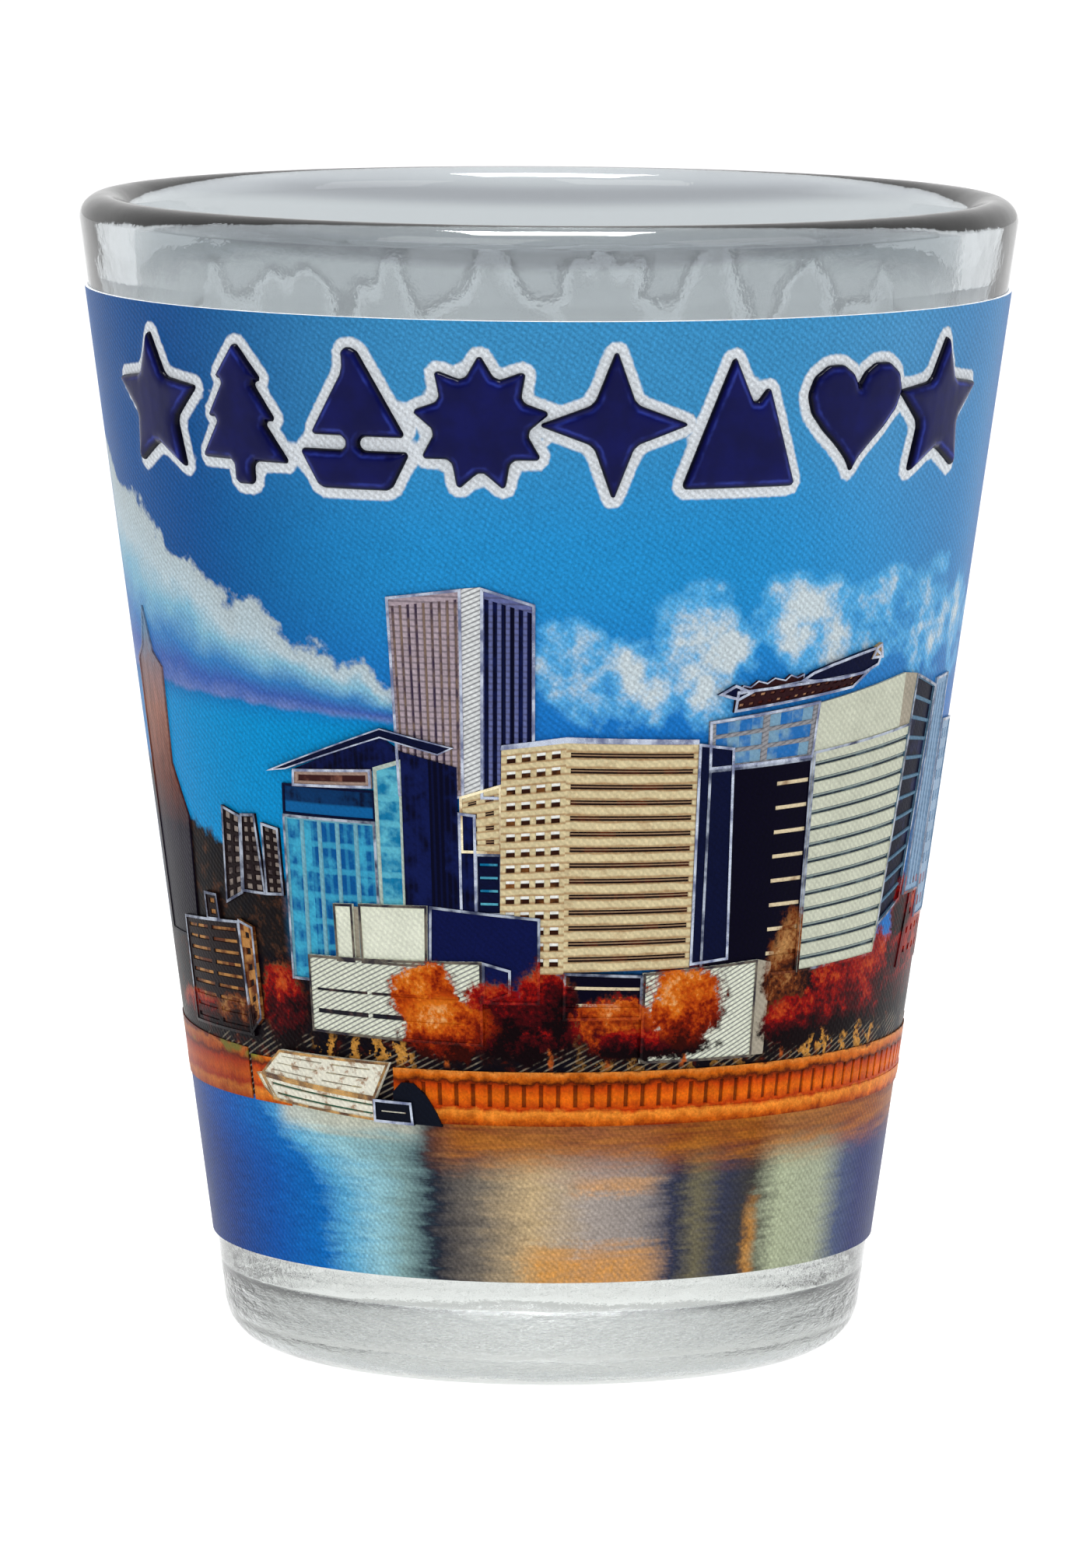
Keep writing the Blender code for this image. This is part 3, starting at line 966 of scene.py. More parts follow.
class SHOTGLASS_OT_film(Operator):
    """Roll the printed film, pressed out under each motif"""

    bl_idname = "shotglass.film"
    bl_label = "Wrap film"

    def execute(self, context):
        look = context.scene.shot_glass_print
        low, high = self.seam_edges()
        width = (high - low) * PRINT_RADIUS * MM
        height = FILM_HIGH - FILM_LOW
        deselect_all()
        bpy.ops.mesh.primitive_grid_add(
            x_subdivisions=round(width / FILM_STEP), y_subdivisions=round(height / FILM_STEP), size=1.0,
            rotation=(math.pi / 2, 0.0, 0.0),
        )
        obj = context.object
        obj.name = obj.data.name = "film"
        obj.scale = (width, height, 1.0)
        obj.location = ((low + high) / 2 * PRINT_RADIUS * MM, 0.0, (FILM_LOW + FILM_HIGH) / 2)
        bpy.ops.object.transform_apply(location=True, rotation=True, scale=True)
        mark_print(obj)
        self.press_motifs(obj, look)
        roll_onto_film(obj, 0.0)
        obj.data.materials.append(film_material(look))
        obj.data.materials.append(foil_material(look))
        wall = obj.modifiers.new("wall", "SOLIDIFY")
        wall.thickness = look.thickness
        wall.offset = -1.0
        wall.material_offset = 1
        wall.material_offset_rim = 1
        make_active(obj)
        bpy.ops.object.modifier_apply(modifier=wall.name)
        smooth_shade(obj, 50.0)
        settle(obj, "printed_film", "wrap_film")
        return {"FINISHED"}

    def seam_edges(self):
        """The angles of the film's two ends, measured from the front, the first below the second."""
        places = [vert.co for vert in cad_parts["wrap_film"].data.vertices]
        angles = sorted({round(math.atan2(place.x, -place.y), 5) for place in places})
        gaps = [(after - before, before, after) for before, after in zip(angles, angles[1:])]
        usual = sorted(gap for gap, _, _ in gaps)[len(gaps) // 2]
        seam = min((gap for gap in gaps if gap[0] > 1e-4), key=lambda gap: gap[0])
        if seam[0] > usual / 2:
            raise RuntimeError("the film has no seam")
        return seam[2] - 2 * math.pi, seam[1]

    def press_motifs(self, obj, look):
        """Lifts the flat film where a motif stands, and keeps the distance to the nearest motif's edge."""
        mesh = obj.data
        flat = np.empty(len(mesh.vertices) * 3)
        mesh.vertices.foreach_get("co", flat)
        flat = flat.reshape(-1, 3)
        edge = np.full(len(flat), NO_MOTIF)
        for side, facing in SIDES:
            for node in motif_nodes(side):
                low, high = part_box(node)
                radius = film_radius((low[2] + high[2]) / 2)
                outline = motif_outline(node, facing)
                angle = (flat[:, 0] / (PRINT_RADIUS * MM) - facing + math.pi) % (2 * math.pi) - math.pi
                points = np.column_stack((angle * radius, flat[:, 2])) / MM
                past_low = points > outline.min((0, 1)) - MOTIF_REACH
                before_high = points < outline.max((0, 1)) + MOTIF_REACH
                near = np.all(past_low & before_high, axis=1)
                edge[near] = np.minimum(edge[near], signed_distance(points[near], outline))
        rise = np.clip((0.75 - edge) / 0.5, 0.0, 1.0)
        flat[:, 1] -= look.plateau * rise * rise * (3 - 2 * rise)
        mesh.vertices.foreach_set("co", flat.ravel())
        mesh.attributes.new("motif_edge", "FLOAT", "POINT").data.foreach_set("value", edge)


# The raised motifs


def enamel_material(look):
    """Glossy enamel, darkest at its rim, with a painted highlight on the ridge inside it."""
    recipe = Recipe("navy_enamel")
    pool = recipe.noise(recipe.body(), 0.6, 3.0)
    dimple = recipe.noise(recipe.body(), 3.0, 2.0)
    depth = recipe.node("ShaderNodeAttribute", {"attribute_name": "enamel_depth"}, {}, "Fac")
    tone = recipe.mix(pool.step(0.3, 0.8), look.colour, ink("070c50"))
    # Painted highlight: a lighter blue ring just inside the rim, where the dome's shoulder would catch the
    # light
    crest_highlight = (depth + (dimple - 0.5) * 0.1).within(0.24, 0.36, 0.08)
    tone = recipe.mix(crest_highlight * pool.step(0.35, 0.65) * 0.75, tone, ink("2c3a92"))
    tone = recipe.mix(depth.step(0.20, 0.04), tone, ink("020216"))
    return recipe.finish(
        Base_Color=tone, Roughness=0.16 + dimple * 0.10, Specular_IOR_Level=0.09,
        Normal=recipe.bump(pool + dimple * 0.2, 0.02 * MM, 0.5),
    )


class SHOTGLASS_OT_motifs(Operator):
    """Dome the enamel motifs"""

    bl_idname = "shotglass.motifs"
    bl_label = "Enamel motifs"

    def execute(self, context):
        look = context.scene.shot_glass_enamel
        material = enamel_material(look)
        for side, facing in SIDES:
            for node in motif_nodes(side):
                self.dome(node, facing, look, material)
        return {"FINISHED"}

    def dome(self, node, facing, look, material):
        """A finer copy of a frame motif: remeshed evenly, with its face swelling away from its outline."""
        outline = motif_outline(node, facing)
        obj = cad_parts[node].copy()
        obj.data = obj.data.copy()
        obj.name = obj.data.name = node.replace("motif", "enamel")
        bpy.context.scene.collection.objects.link(obj)
        edit(obj)
        bpy.ops.mesh.remove_doubles(threshold=MERGE)
        bpy.ops.object.mode_set(mode="OBJECT")
        grid = obj.modifiers.new("grid", "REMESH")
        grid.mode = "VOXEL"
        grid.voxel_size = look.voxel
        bpy.ops.object.modifier_apply(modifier=grid.name)
        relax = obj.modifiers.new("relax", "SMOOTH")
        relax.factor = 0.5
        relax.iterations = 5
        bpy.ops.object.modifier_apply(modifier=relax.name)

        low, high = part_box(node)
        middle_radius = film_radius((low[2] + high[2]) / 2)
        places = np.array([vert.co for vert in obj.data.vertices])
        flat = np.array([flat_place(vert.co, facing, middle_radius) for vert in obj.data.vertices]) / MM
        depth = -signed_distance(flat, outline)
        obj.data.attributes.new("enamel_depth", "FLOAT", "POINT").data.foreach_set("value", depth)
        inward = np.clip(depth / look.shoulder, 0.0, 1.0)
        swell = 0.45 + 0.65 * np.sqrt(1 - (1 - inward) ** 2)
        radius = np.hypot(places[:, 0], places[:, 1])
        base = film_radius(places[:, 2])
        grown = base + (radius - base) * swell
        places[:, :2] *= (grown / radius)[:, None]
        obj.data.vertices.foreach_set("co", places.ravel())
        obj.data.materials.clear()
        obj.data.materials.append(material)
        smooth_shade(obj, 80.0)
        settle(obj, "navy_enamel", node)


# Finishes of the buildings


def stone(name, colour, hatch=0.0, courses=0.0, fringe=0.0, stains=0.0, trees=False, grain=0.5):
    """Printed stone: a diagonal hatch, level courses, a warm fringe to each cell, brown stains or trees.

    The courses are so many to a millimetre. The others are shares, from 0 to 1.
    """
    recipe = Recipe(name)
    patches = recipe.noise(recipe.body(), 0.9, 3.0)
    tone = recipe.shaded(colour, 0.84 + patches * 0.34)
    across = recipe.uv("print", "X")
    if hatch:
        lines = (across * 13.0 - recipe.height() * 26.0).sine().step(0.1, 0.8)
        tone = recipe.mix(lines * hatch, tone, ink("4c4e56"))
    if courses:
        lines = (recipe.height() * (courses * 2 * math.pi)).sine().step(0.2, 0.8)
        tone = recipe.mix(lines * 0.45, tone, ink("3a3440"))
    if fringe:
        rise = recipe.uv("cells", "Y").fraction() + (patches - 0.5) * 0.5
        edge = rise.step(0.30, 0.05).larger(rise.step(0.80, 0.98))
        tone = recipe.mix(edge * fringe, tone, ink("8c5a28"))
    if stains:
        spots = recipe.noise(recipe.body(), 1.5, 4.0, 0.7).step(0.52, 0.66)
        tone = recipe.mix(spots * stains, tone, ink("8a5a2c"))
    if trees:
        tone = foliage(recipe, tone)
    return satin(recipe, tone, grain=grain)


def panes(name, dark, light, share=0.35, ribs=0.0, floors=0.0, glint=None, trees=False):
    """Printed windows that differ from cell to cell, with so many ribs or pale floor lines to a millimetre.

    The share is how much of the wall is lit. A glint is a painted highlight: the part of each cell's height,
    from the bottom, that catches the light, and its colour.
    """
    recipe = Recipe(name)
    column = recipe.uv("cells", "X").floor()
    row = recipe.uv("cells", "Y").floor()
    cell = recipe.node("ShaderNodeCombineXYZ", {}, {"X": column, "Y": row})
    chance = recipe.node("ShaderNodeTexWhiteNoise", {"noise_dimensions": "2D"}, {"Vector": cell})
    blur = recipe.noise(recipe.body(), 1.2, 3.0)
    tone = recipe.mix((chance * 0.4 + blur * 0.9).step(1.0 - share, 1.3 - share), dark, light)
    if ribs:
        lines = (recipe.uv("print", "X") * (ribs * 2 * math.pi)).sine().step(-0.2, 0.9)
        tone = recipe.mix(lines * 0.35, tone, light)
    if floors:
        lines = (recipe.height() * (floors * 2 * math.pi) + blur * 1.5).sine().step(0.55, 0.95)
        tone = recipe.mix(lines * 0.7, tone, light)
    # Painted highlight across part of each cell's height
    if glint:
        rise = recipe.uv("cells", "Y").fraction()
        tone = recipe.mix(rise.within(glint[0], glint[1], 0.06), tone, ink(glint[2]))
    if trees:
        tone = foliage(recipe, tone)
    return satin(recipe, tone, roughness=0.3, twill=0.5)


def raised_line(name, dark, light, trees=False):
    """The outlines: a printed line whose foil glints through, unless trees hide it."""
    recipe = Recipe(name)
    wear = recipe.noise(recipe.body(), 1.1, 3.0)
    tone = recipe.mix(wear.step(0.35, 0.65), dark, light)
    if trees:
        tone = foliage(recipe, tone)
    metallic, gloss = (0.05, 0.08) if trees else (0.4, 0.5)
    return satin(recipe, tone, roughness=0.26, metallic=metallic, twill=0.0, grain=0.3, gloss=gloss)


def spire_stone(name):
    """Dark stone that warms and then fades towards the spire's top, with upright streaks."""
    recipe = Recipe(name)
    fine = recipe.noise(recipe.body(), 1.6, 3.0)
    streaks = recipe.noise(recipe.stretched(3.2, 0.3), 1.0, 3.0, 0.6)
    tone = recipe.ramp(
        (recipe.height() + (fine - 0.5) * 2.0 - 22.0) / 16.0,
        (
            (0.0, "14121e"), (0.36, "221c2c"), (0.52, "6c3426"), (0.74, "a06c5c"), (0.88, "8c7478"),
            (1.0, "7896b4"),
        ),
    )
    return satin(recipe, recipe.shaded(tone, 0.1 + streaks * 1.35))


def quay_stone(name, light):
    """Lit masonry along the water: an orange ledge and coping, a dark band between, and moss on the left."""
    recipe = Recipe(name)
    patches = recipe.noise(recipe.body(), 1.3, 4.0, 0.65)
    embers = recipe.noise(recipe.body(), 0.55, 3.0, 0.6)
    tone = recipe.ramp(
        (recipe.height() + (patches - 0.5) * 0.9 - 14.0) / 3.0,
        (
            (0.00, "7c2404"), (0.10, "b8560c"), (0.24, "d8802a"), (0.32, "a83204"), (0.50, "d0600c"),
            (0.68, "b03a04"), (0.77, "4c1602"), (0.86, "b8580c"), (0.95, "c87830"), (1.00, "4a1c06"),
        ),
    )
    streaks = recipe.noise(recipe.stretched(2.4, 0.3), 1.0, 3.0, 0.6)
    tone = recipe.shaded(tone, (patches * 0.7 + embers * 0.5 + streaks * 0.9) * light)
    moss = recipe.noise(recipe.body(), 0.5, 2.0).step(0.50, 0.60) * recipe.height().step(16.2, 16.7)
    tone = recipe.mix(moss * recipe.across().step(-16.0, -18.0), tone, ink("6c8a34"))
    shade = recipe.across().step(-17.0, -20.0)
    tone = recipe.mix(shade * 0.55, tone, ink("6a1c10"))
    return satin(recipe, tone, twill=0.4, grain=0.9)


# How each finish is made: its maker, its colours as hex digits or settings, and what differs from the usual
FINISHES = {
    "silver_line": (raised_line, "5c6484 b4bccc", {}),
    "dim_line": (raised_line, "3c4258 a8b0be", {"trees": True}),
    "dark_line": (raised_line, "24202a 6c6458", {"trees": True}),
    "cream_line": (raised_line, "8a6c48 eee2bc", {}),
    "gold_line": (raised_line, "4a2c14 b88c4c", {}),
    "cream_stone": (stone, "cream", {"fringe": 0.6, "stains": 0.25}),
    "cream_bands": (panes, "12060a 4a1c10", {"glint": (0.42, 0.62, "94785c")}),
    "cream_dimples": (panes, "2c1208 7c4c24", {"glint": (0.60, 0.95, "e8eae6")}),
    "white_stone": (stone, "white", {}),
    "tower_stone": (stone, "bec1af", {}),
    "tan_stone": (stone, "9c9484", {"trees": True}),
    "hatched_stone": (stone, "white", {"hatch": 0.75, "trees": True}),
    "street_lines": (panes, "1c1c24 5b4644", {"trees": True}),
    "tower_bands": (panes, "202c38 4c5c64", {"glint": (0.5, 0.8, "8c9894")}),
    "violet_stone": (stone, "violet", {"courses": 3.2}),
    "violet_panes": (panes, "3c3044 7c685c", {"share": 0.5}),
    "ridge_stone": (stone, "d4d6d6", {"hatch": 0.7}),
    "navy_ribs": (stone, "5c6494", {"courses": 3.2}),
    "navy_panes": (panes, "02031c 0c1648", {"ribs": 3.4}),
    "navy_wall": (stone, "navy", {"grain": 0.8}),
    "navy_hatched": (stone, "081040", {"grain": 0.8, "trees": True}),
    "blue_panes": (panes, "044e8c 3ca0c0", {"share": 0.45, "ribs": 2.0, "floors": 0.75, "trees": True}),
    "blue_mullions": (stone, "6ca0b0", {"trees": True}),
    "attic_panes": (panes, "03031a 06305c", {"share": 0.6, "ribs": 2.4, "glint": (-0.2, 0.42, "0a5a94")}),
    "cyan_panes": (panes, "0c6c98 5cb0c4", {"share": 0.45, "floors": 0.75}),
    "cyan_frame": (stone, "a9b6ac", {}),
    "brown_truss": (stone, "9c8478", {}),
    "truss_shade": (panes, "3a1c1c 8a5c4c", {}),
    "sky_panes": (panes, "2468ac 7498b0", {"share": 0.5}),
    "sky_frame": (stone, "8c8c90", {"hatch": 0.5}),
    "dark_glass": (stone, "030114", {"trees": True, "grain": 0.8}),
    "lit_ledges": (panes, "a08468 dccba8", {"share": 0.7, "trees": True}),
    "ledge_stone": (stone, "54748c", {"trees": True}),
    "ledge_shade": (panes, "080a20 1c2044", {"trees": True}),
    "crown_wood": (stone, "2c1418", {}),
    "crown_panes": (panes, "4a1a16 b88a68", {"share": 0.45}),
    "old_stone": (stone, "1c1214", {"trees": True, "grain": 0.8}),
    "grey_panes": (panes, "2c2024 8c8078", {"share": 0.6, "trees": True}),
    "old_panes": (panes, "5a2c14 b07c44", {"share": 0.5, "trees": True}),
    "spire_stone": (spire_stone, "", {}),
    "far_stone": (stone, "7f9cb8", {}),
    "far_shade": (panes, "4f5f88 93a2ba", {}),
    "red_stone": (stone, "9c4040", {"trees": True}),
    "quay_stone": (quay_stone, "", {"light": 1.0}),
    "quay_arches": (quay_stone, "", {"light": 0.32}),
    "boat_paint": (stone, "dcd9c8", {"stains": 0.75}),
    "boat_panes": (panes, "4a3c28 a89458", {}),
    "boat_stripes": (panes, "2c5440 6c4c30", {}),
    "boat_hull": (stone, "0c101c", {}),
}


def colour_of(code):
    """A colour by its hex digits or by the name of its setting."""
    look = bpy.context.scene.shot_glass_skyline
    return getattr(look, code) if hasattr(look, code) else ink(code)


def finish(name):
    """A finish by name, made when it is first used."""
    made = bpy.data.materials.get(name)
    if made:
        return made
    maker, colours, options = FINISHES[name]
    return maker(name, *(colour_of(code) for code in colours.split()), **options)


def add_face(name, corners, across, up, looks, relief, framed=True):
    """A building face on both halves. The looks are its wall, opening and outline finishes."""
    both_sides(facade(name, corners, across, up, [finish(look) for look in looks], relief, framed))


def add_plate(name, outline, looks, relief, framed=True, rim=None):
    """A shape with any outline on both halves, with the same three finishes."""
    both_sides(plate(name, outline, [finish(look) for look in looks], relief, framed, rim))


# The buildings, each drawn flat in millimetres of print


class SHOTGLASS_OT_tall_tower(Operator):
    """Build the tall tower's two striped faces and its pale corner"""

    bl_idname = "shotglass.tall_tower"
    bl_label = "Tall tower"

    def execute(self, context):
        relief = context.scene.shot_glass_skyline.relief * 0.35
        floors = wall(0.4) + opening(10.0) + wall(0.5)
        left = ((-7.3, 31.0), (-3.95, 31.0), (-3.9, 41.75), (-7.5, 41.2))
        corner = ((-3.95, 31.0), (-3.15, 31.0), (-3.0, 41.85), (-3.9, 41.75))
        right = ((-3.15, 31.0), (-0.5, 31.0), (-0.5, 41.0), (-3.0, 41.85))
        looks = ("violet_stone", "violet_panes", "silver_line")
        add_face("tall_tower_left", left, bays(9, 1.0, 1.0), floors, looks, relief)
        looks = ("ridge_stone", "ridge_stone", "silver_line")
        add_face("tall_tower_corner", corner, wall(), wall(), looks, relief, framed=False)
        looks = ("navy_ribs", "navy_panes", "silver_line")
        add_face("tall_tower_right", right, bays(6, 0.5, 1.0), floors, looks, relief)
        return {"FINISHED"}


class SHOTGLASS_OT_slab(Operator):
    """Build the cream slab: dimpled side, banded front, dark flank and the link behind it"""

    bl_idname = "shotglass.slab"
    bl_label = "Cream slab"

    def execute(self, context):
        relief = context.scene.shot_glass_skyline.relief * 0.65
        side = ((-2.3, 22.0), (1.0, 22.0), (1.0, 34.0), (-2.1, 33.6))
        front = ((1.0, 22.1), (7.7, 22.2), (7.5, 33.8), (1.0, 34.0))
        flank = ((7.7, 22.3), (9.9, 22.5), (9.4, 33.5), (7.5, 33.8))
        link = ((-4.2, 28.2), (-2.1, 28.2), (-2.1, 31.8), (-4.2, 31.1))
        low_link = ((-3.5, 25.0), (-2.1, 25.0), (-2.1, 28.2), (-3.5, 28.2))
        cream = ("cream_stone", "cream_dimples", "cream_line")
        dimples = bays(14, 0.36, 0.44)
        add_face("slab_side", side, bays(4, 0.24, 0.50), dimples, cream, relief, framed=False)
        cream = ("cream_stone", "cream_bands", "cream_line")
        strip = wall(0.2) + opening(6.3) + wall(0.2)
        add_face("slab_front", front, strip, bays(14, 0.50, 0.31), cream, relief, framed=False)
        add_face("slab_link", link, bays(2, 0.4, 0.5), bays(4, 0.5, 0.3), cream, relief * 0.6)
        navy = ("navy_wall", "navy_panes", "silver_line")
        add_face("slab_flank", flank, wall(), wall(), navy, relief)
        teal = ("navy_wall", "cyan_panes", "dim_line")
        add_face("slab_low_link", low_link, bays(1, 0.2, 0.9), bays(4, 0.5, 0.2), teal, relief * 0.6)
        roof = ((-2.15, 33.55), (1.0, 33.95), (7.5, 33.75), (7.5, 34.0), (1.0, 34.25), (-2.1, 33.8))
        add_plate("slab_roof", roof, ("silver_line",) * 3, relief * 1.2, framed=False)
        return {"FINISHED"}


class SHOTGLASS_OT_hall(Operator):
    """Build the blue glass hall under its flat hipped roof"""

    bl_idname = "shotglass.hall"
    bl_label = "Glass hall"

    def execute(self, context):
        relief = context.scene.shot_glass_skyline.relief * 0.5
        front = ((-14.4, 21.0), (-8.6, 21.0), (-8.6, 29.6), (-14.1, 29.6))
        attic = ((-14.1, 29.6), (-8.6, 29.6), (-8.6, 31.2), (-14.0, 31.2))
        corner = ((-8.6, 22.0), (-7.2, 22.0), (-7.1, 32.9), (-8.6, 32.4))
        truss = ((-13.3, 31.1), (-8.7, 31.3), (-8.7, 32.3), (-13.2, 32.0))
        gable = ((-13.4, 31.9), (-8.7, 32.2), (-7.1, 32.8), (-7.1, 33.3), (-8.1, 34.0), (-9.6, 33.5))
        flank = ((-7.2, 22.0), (-4.3, 22.0), (-4.3, 32.6), (-7.1, 33.3))
        step = ((-4.3, 22.0), (-3.4, 22.0), (-3.4, 30.2), (-4.3, 30.3))
        roof = (
            (-14.9, 31.75), (-13.6, 31.95), (-9.5, 33.45), (-8.1, 33.95), (-5.2, 33.2), (-4.4, 33.6),
            (-8.1, 34.45),
        )
        blue = ("blue_mullions", "blue_panes", "dim_line")
        add_face("hall_front", front, bays(5, 0.2, 1.0), wall(0.1) + opening(8.3) + wall(0.2), blue, relief)
        navy = ("navy_wall", "attic_panes", "dim_line")
        add_face("hall_attic", attic, bays(1, 0.1, 5.0), bays(1, 0.1, 1.4), navy, relief, framed=False)
        add_plate("hall_gable", gable, ("navy_panes", "navy_panes", "dim_line"), relief * 0.8, framed=False)
        cyan = ("cyan_frame", "cyan_panes", "silver_line")
        add_face("hall_corner", corner, bays(1, 0.12, 1.0), bays(1, 0.2, 10.3), cyan, relief, framed=False)
        brown = ("brown_truss", "truss_shade", "silver_line")
        add_face("hall_truss", truss, bays(1, 0.3, 4.0), bays(1, 0.25, 0.35), brown, relief * 1.2)
        navy = ("navy_panes", "navy_panes", "silver_line")
        add_face("hall_flank", flank, wall(), wall(), navy, relief * 1.35, framed=False)
        add_face("hall_step", step, wall(), wall(), navy, relief * 0.85)
        looks = ("navy_wall", "navy_wall", "silver_line")
        add_plate("hall_roof", roof, looks, relief * 1.5, rim=0.07 * MM)
        return {"FINISHED"}


class SHOTGLASS_OT_low_blocks(Operator):
    """Build the pale and dark low blocks along the street"""

    bl_idname = "shotglass.low_blocks"
    bl_label = "Low blocks"

    def execute(self, context):
        relief = context.scene.shot_glass_skyline.relief
        white_left = ((-11.3, 22.2), (-10.15, 22.2), (-10.15, 25.25), (-11.3, 25.2))
        white_gap = ((-10.15, 22.2), (-9.8, 22.2), (-9.8, 25.1), (-10.15, 25.1))
        white = ((-9.8, 22.2), (-6.1, 22.2), (-6.0, 25.4), (-9.8, 25.3))
        dark = ((-6.1, 20.4), (-0.2, 20.4), (-0.2, 24.9), (-5.9, 25.4))
        terrace = ((-13.2, 18.4), (-3.2, 18.2), (-3.2, 22.6), (-13.1, 22.4))
        steps = ((-3.2, 20.4), (-1.7, 20.9), (-1.7, 22.2), (-3.2, 22.6))
        podium = ((1.0, 19.6), (5.2, 19.6), (5.2, 21.9), (1.0, 22.1))
        hall = ((5.2, 17.3), (11.8, 17.3), (11.7, 22.4), (5.2, 22.0))
        pier = ((11.8, 17.4), (12.6, 17.4), (12.6, 22.2), (11.7, 22.4))
        looks = ("white_stone", "brown_truss", "dark_line")
        add_face("white_block_left", white_left, wall(), wall(), looks, relief * 0.85)
        add_face("white_block", white, wall(), wall(), looks, relief * 0.85)
        looks = ("tan_stone", "tan_stone", "dark_line")
        add_face("white_block_gap", white_gap, wall(), wall(), looks, relief * 0.5, framed=False)
        looks = ("navy_hatched", "navy_panes", "dim_line")
        add_face("dark_block", dark, wall(), wall(), looks, relief * 0.7)
        add_face("steps", steps, wall(), bays(5, 0.3, 0.2), looks, relief * 0.95)
        looks = ("hatched_stone", "street_lines", "dark_line")
        storeys = wall(1.0) + opening(0.3) + wall(0.9) + opening(0.2) + wall(1.7)
        cells = wall(0.4) + opening(3.2) + wall(0.2) + opening(5.0) + wall(1.2)
        add_face("terrace", terrace, cells, storeys, looks, relief)
        add_face("market_hall", hall, wall(), wall(), looks, relief * 0.9)
        looks = ("tan_stone", "street_lines", "dark_line")
        add_face("market_pier", pier, wall(), wall(), looks, relief * 0.85, framed=False)
        looks = ("dark_glass", "lit_ledges", "dim_line")
        cells = bays(1, 0.1, 4.0)
        add_face("podium", podium, cells, bays(2, 0.5, 0.18), looks, relief * 0.75)
        return {"FINISHED"}


class SHOTGLASS_OT_twin_towers(Operator):
    """Build the dark glass tower, the pale stepped tower and the crown that joins their roofs"""

    bl_idname = "shotglass.twin_towers"
    bl_label = "Twin towers"

    def execute(self, context):
        relief = context.scene.shot_glass_skyline.relief * 0.55
        top = ((8.1, 32.4), (14.05, 32.7), (14.2, 35.6), (8.0, 34.9))
        low = ((8.3, 21.5), (14.4, 21.5), (14.05, 32.7), (8.1, 32.4))
        cap = ((14.05, 33.0), (20.5, 33.7), (20.5, 36.5), (14.2, 35.5))
        cap_end = ((20.5, 33.7), (21.7, 33.8), (21.7, 36.35), (20.5, 36.5))
        front = ((14.4, 21.5), (20.8, 21.8), (21.7, 33.8), (14.05, 33.0))
        flank = ((20.8, 23.2), (23.2, 24.4), (24.2, 35.5), (21.7, 36.35))
        deck = ((9.2, 35.3), (16.2, 36.1), (17.4, 36.95), (9.3, 36.4))
        vents = (
            (9.3, 36.2), (13.0, 36.7), (13.0, 37.1), (12.6, 36.95), (12.2, 37.1), (11.9, 36.85),
            (11.3, 37.0), (10.9, 36.75), (10.4, 36.9), (10.0, 36.6), (9.6, 36.7),
        )
        visor = (
            (12.7, 36.7), (13.5, 37.15), (14.7, 37.5), (16.2, 37.85), (17.5, 38.1), (18.1, 37.7),
            (17.9, 37.15), (16.9, 36.8), (15.2, 36.6), (13.6, 36.6),
        )
        prow = ((8.3, 36.25), (9.4, 35.9), (10.2, 36.3), (9.2, 36.75))
        finial = ((17.3, 37.5), (18.2, 37.5), (18.0, 38.3), (17.6, 38.1))
        looks = ("sky_frame", "sky_panes", "silver_line")
        add_face("glass_tower_top", top, bays(2, 0.3, 2.4), bays(3, 0.18, 0.75), looks, relief)
        looks = ("dark_glass", "lit_ledges", "dim_line")
        cells = wall(3.9) + opening(2.0) + wall(0.1)
        add_face("glass_tower_low", low, cells, bays(8, 0.98, 0.26), looks, relief)
        looks = ("tower_stone", "tower_bands", "dim_line")
        add_face("stepped_tower_cap", cap, wall(), wall(), looks, relief * 1.2, framed=False)
        cells = wall(0.05) + opening(6.7) + wall(0.05)
        add_face("stepped_tower_front", front, cells, bays(13, 0.56, 0.28), looks, relief * 1.2)
        looks = ("tan_stone", "tower_bands", "dim_line")
        add_face("stepped_tower_cap_end", cap_end, wall(), wall(), looks, relief * 1.2, framed=False)
        looks = ("ledge_stone", "ledge_shade", "dim_line")
        add_face("stepped_tower_flank", flank, bays(1, 0.1, 2.0), bays(12, 0.11, 0.7), looks, relief * 1.1)
        looks = ("crown_wood", "crown_panes", "silver_line")
        add_plate("crown_vents", vents, looks, relief * 1.1, rim=0.07 * MM)
        add_face("crown_deck", deck, bays(14, 0.2, 0.22), bays(2, 0.24, 0.2), looks, relief * 1.3)
        add_plate("crown_visor", visor, ("navy_wall", "navy_wall", "silver_line"), relief * 1.5)
        add_plate("crown_prow", prow, ("navy_wall", "navy_wall", "silver_line"), relief * 1.4)
        add_plate("crown_finial", finial, ("cream_stone", "cream_stone", "silver_line"), relief * 1.6)
        return {"FINISHED"}


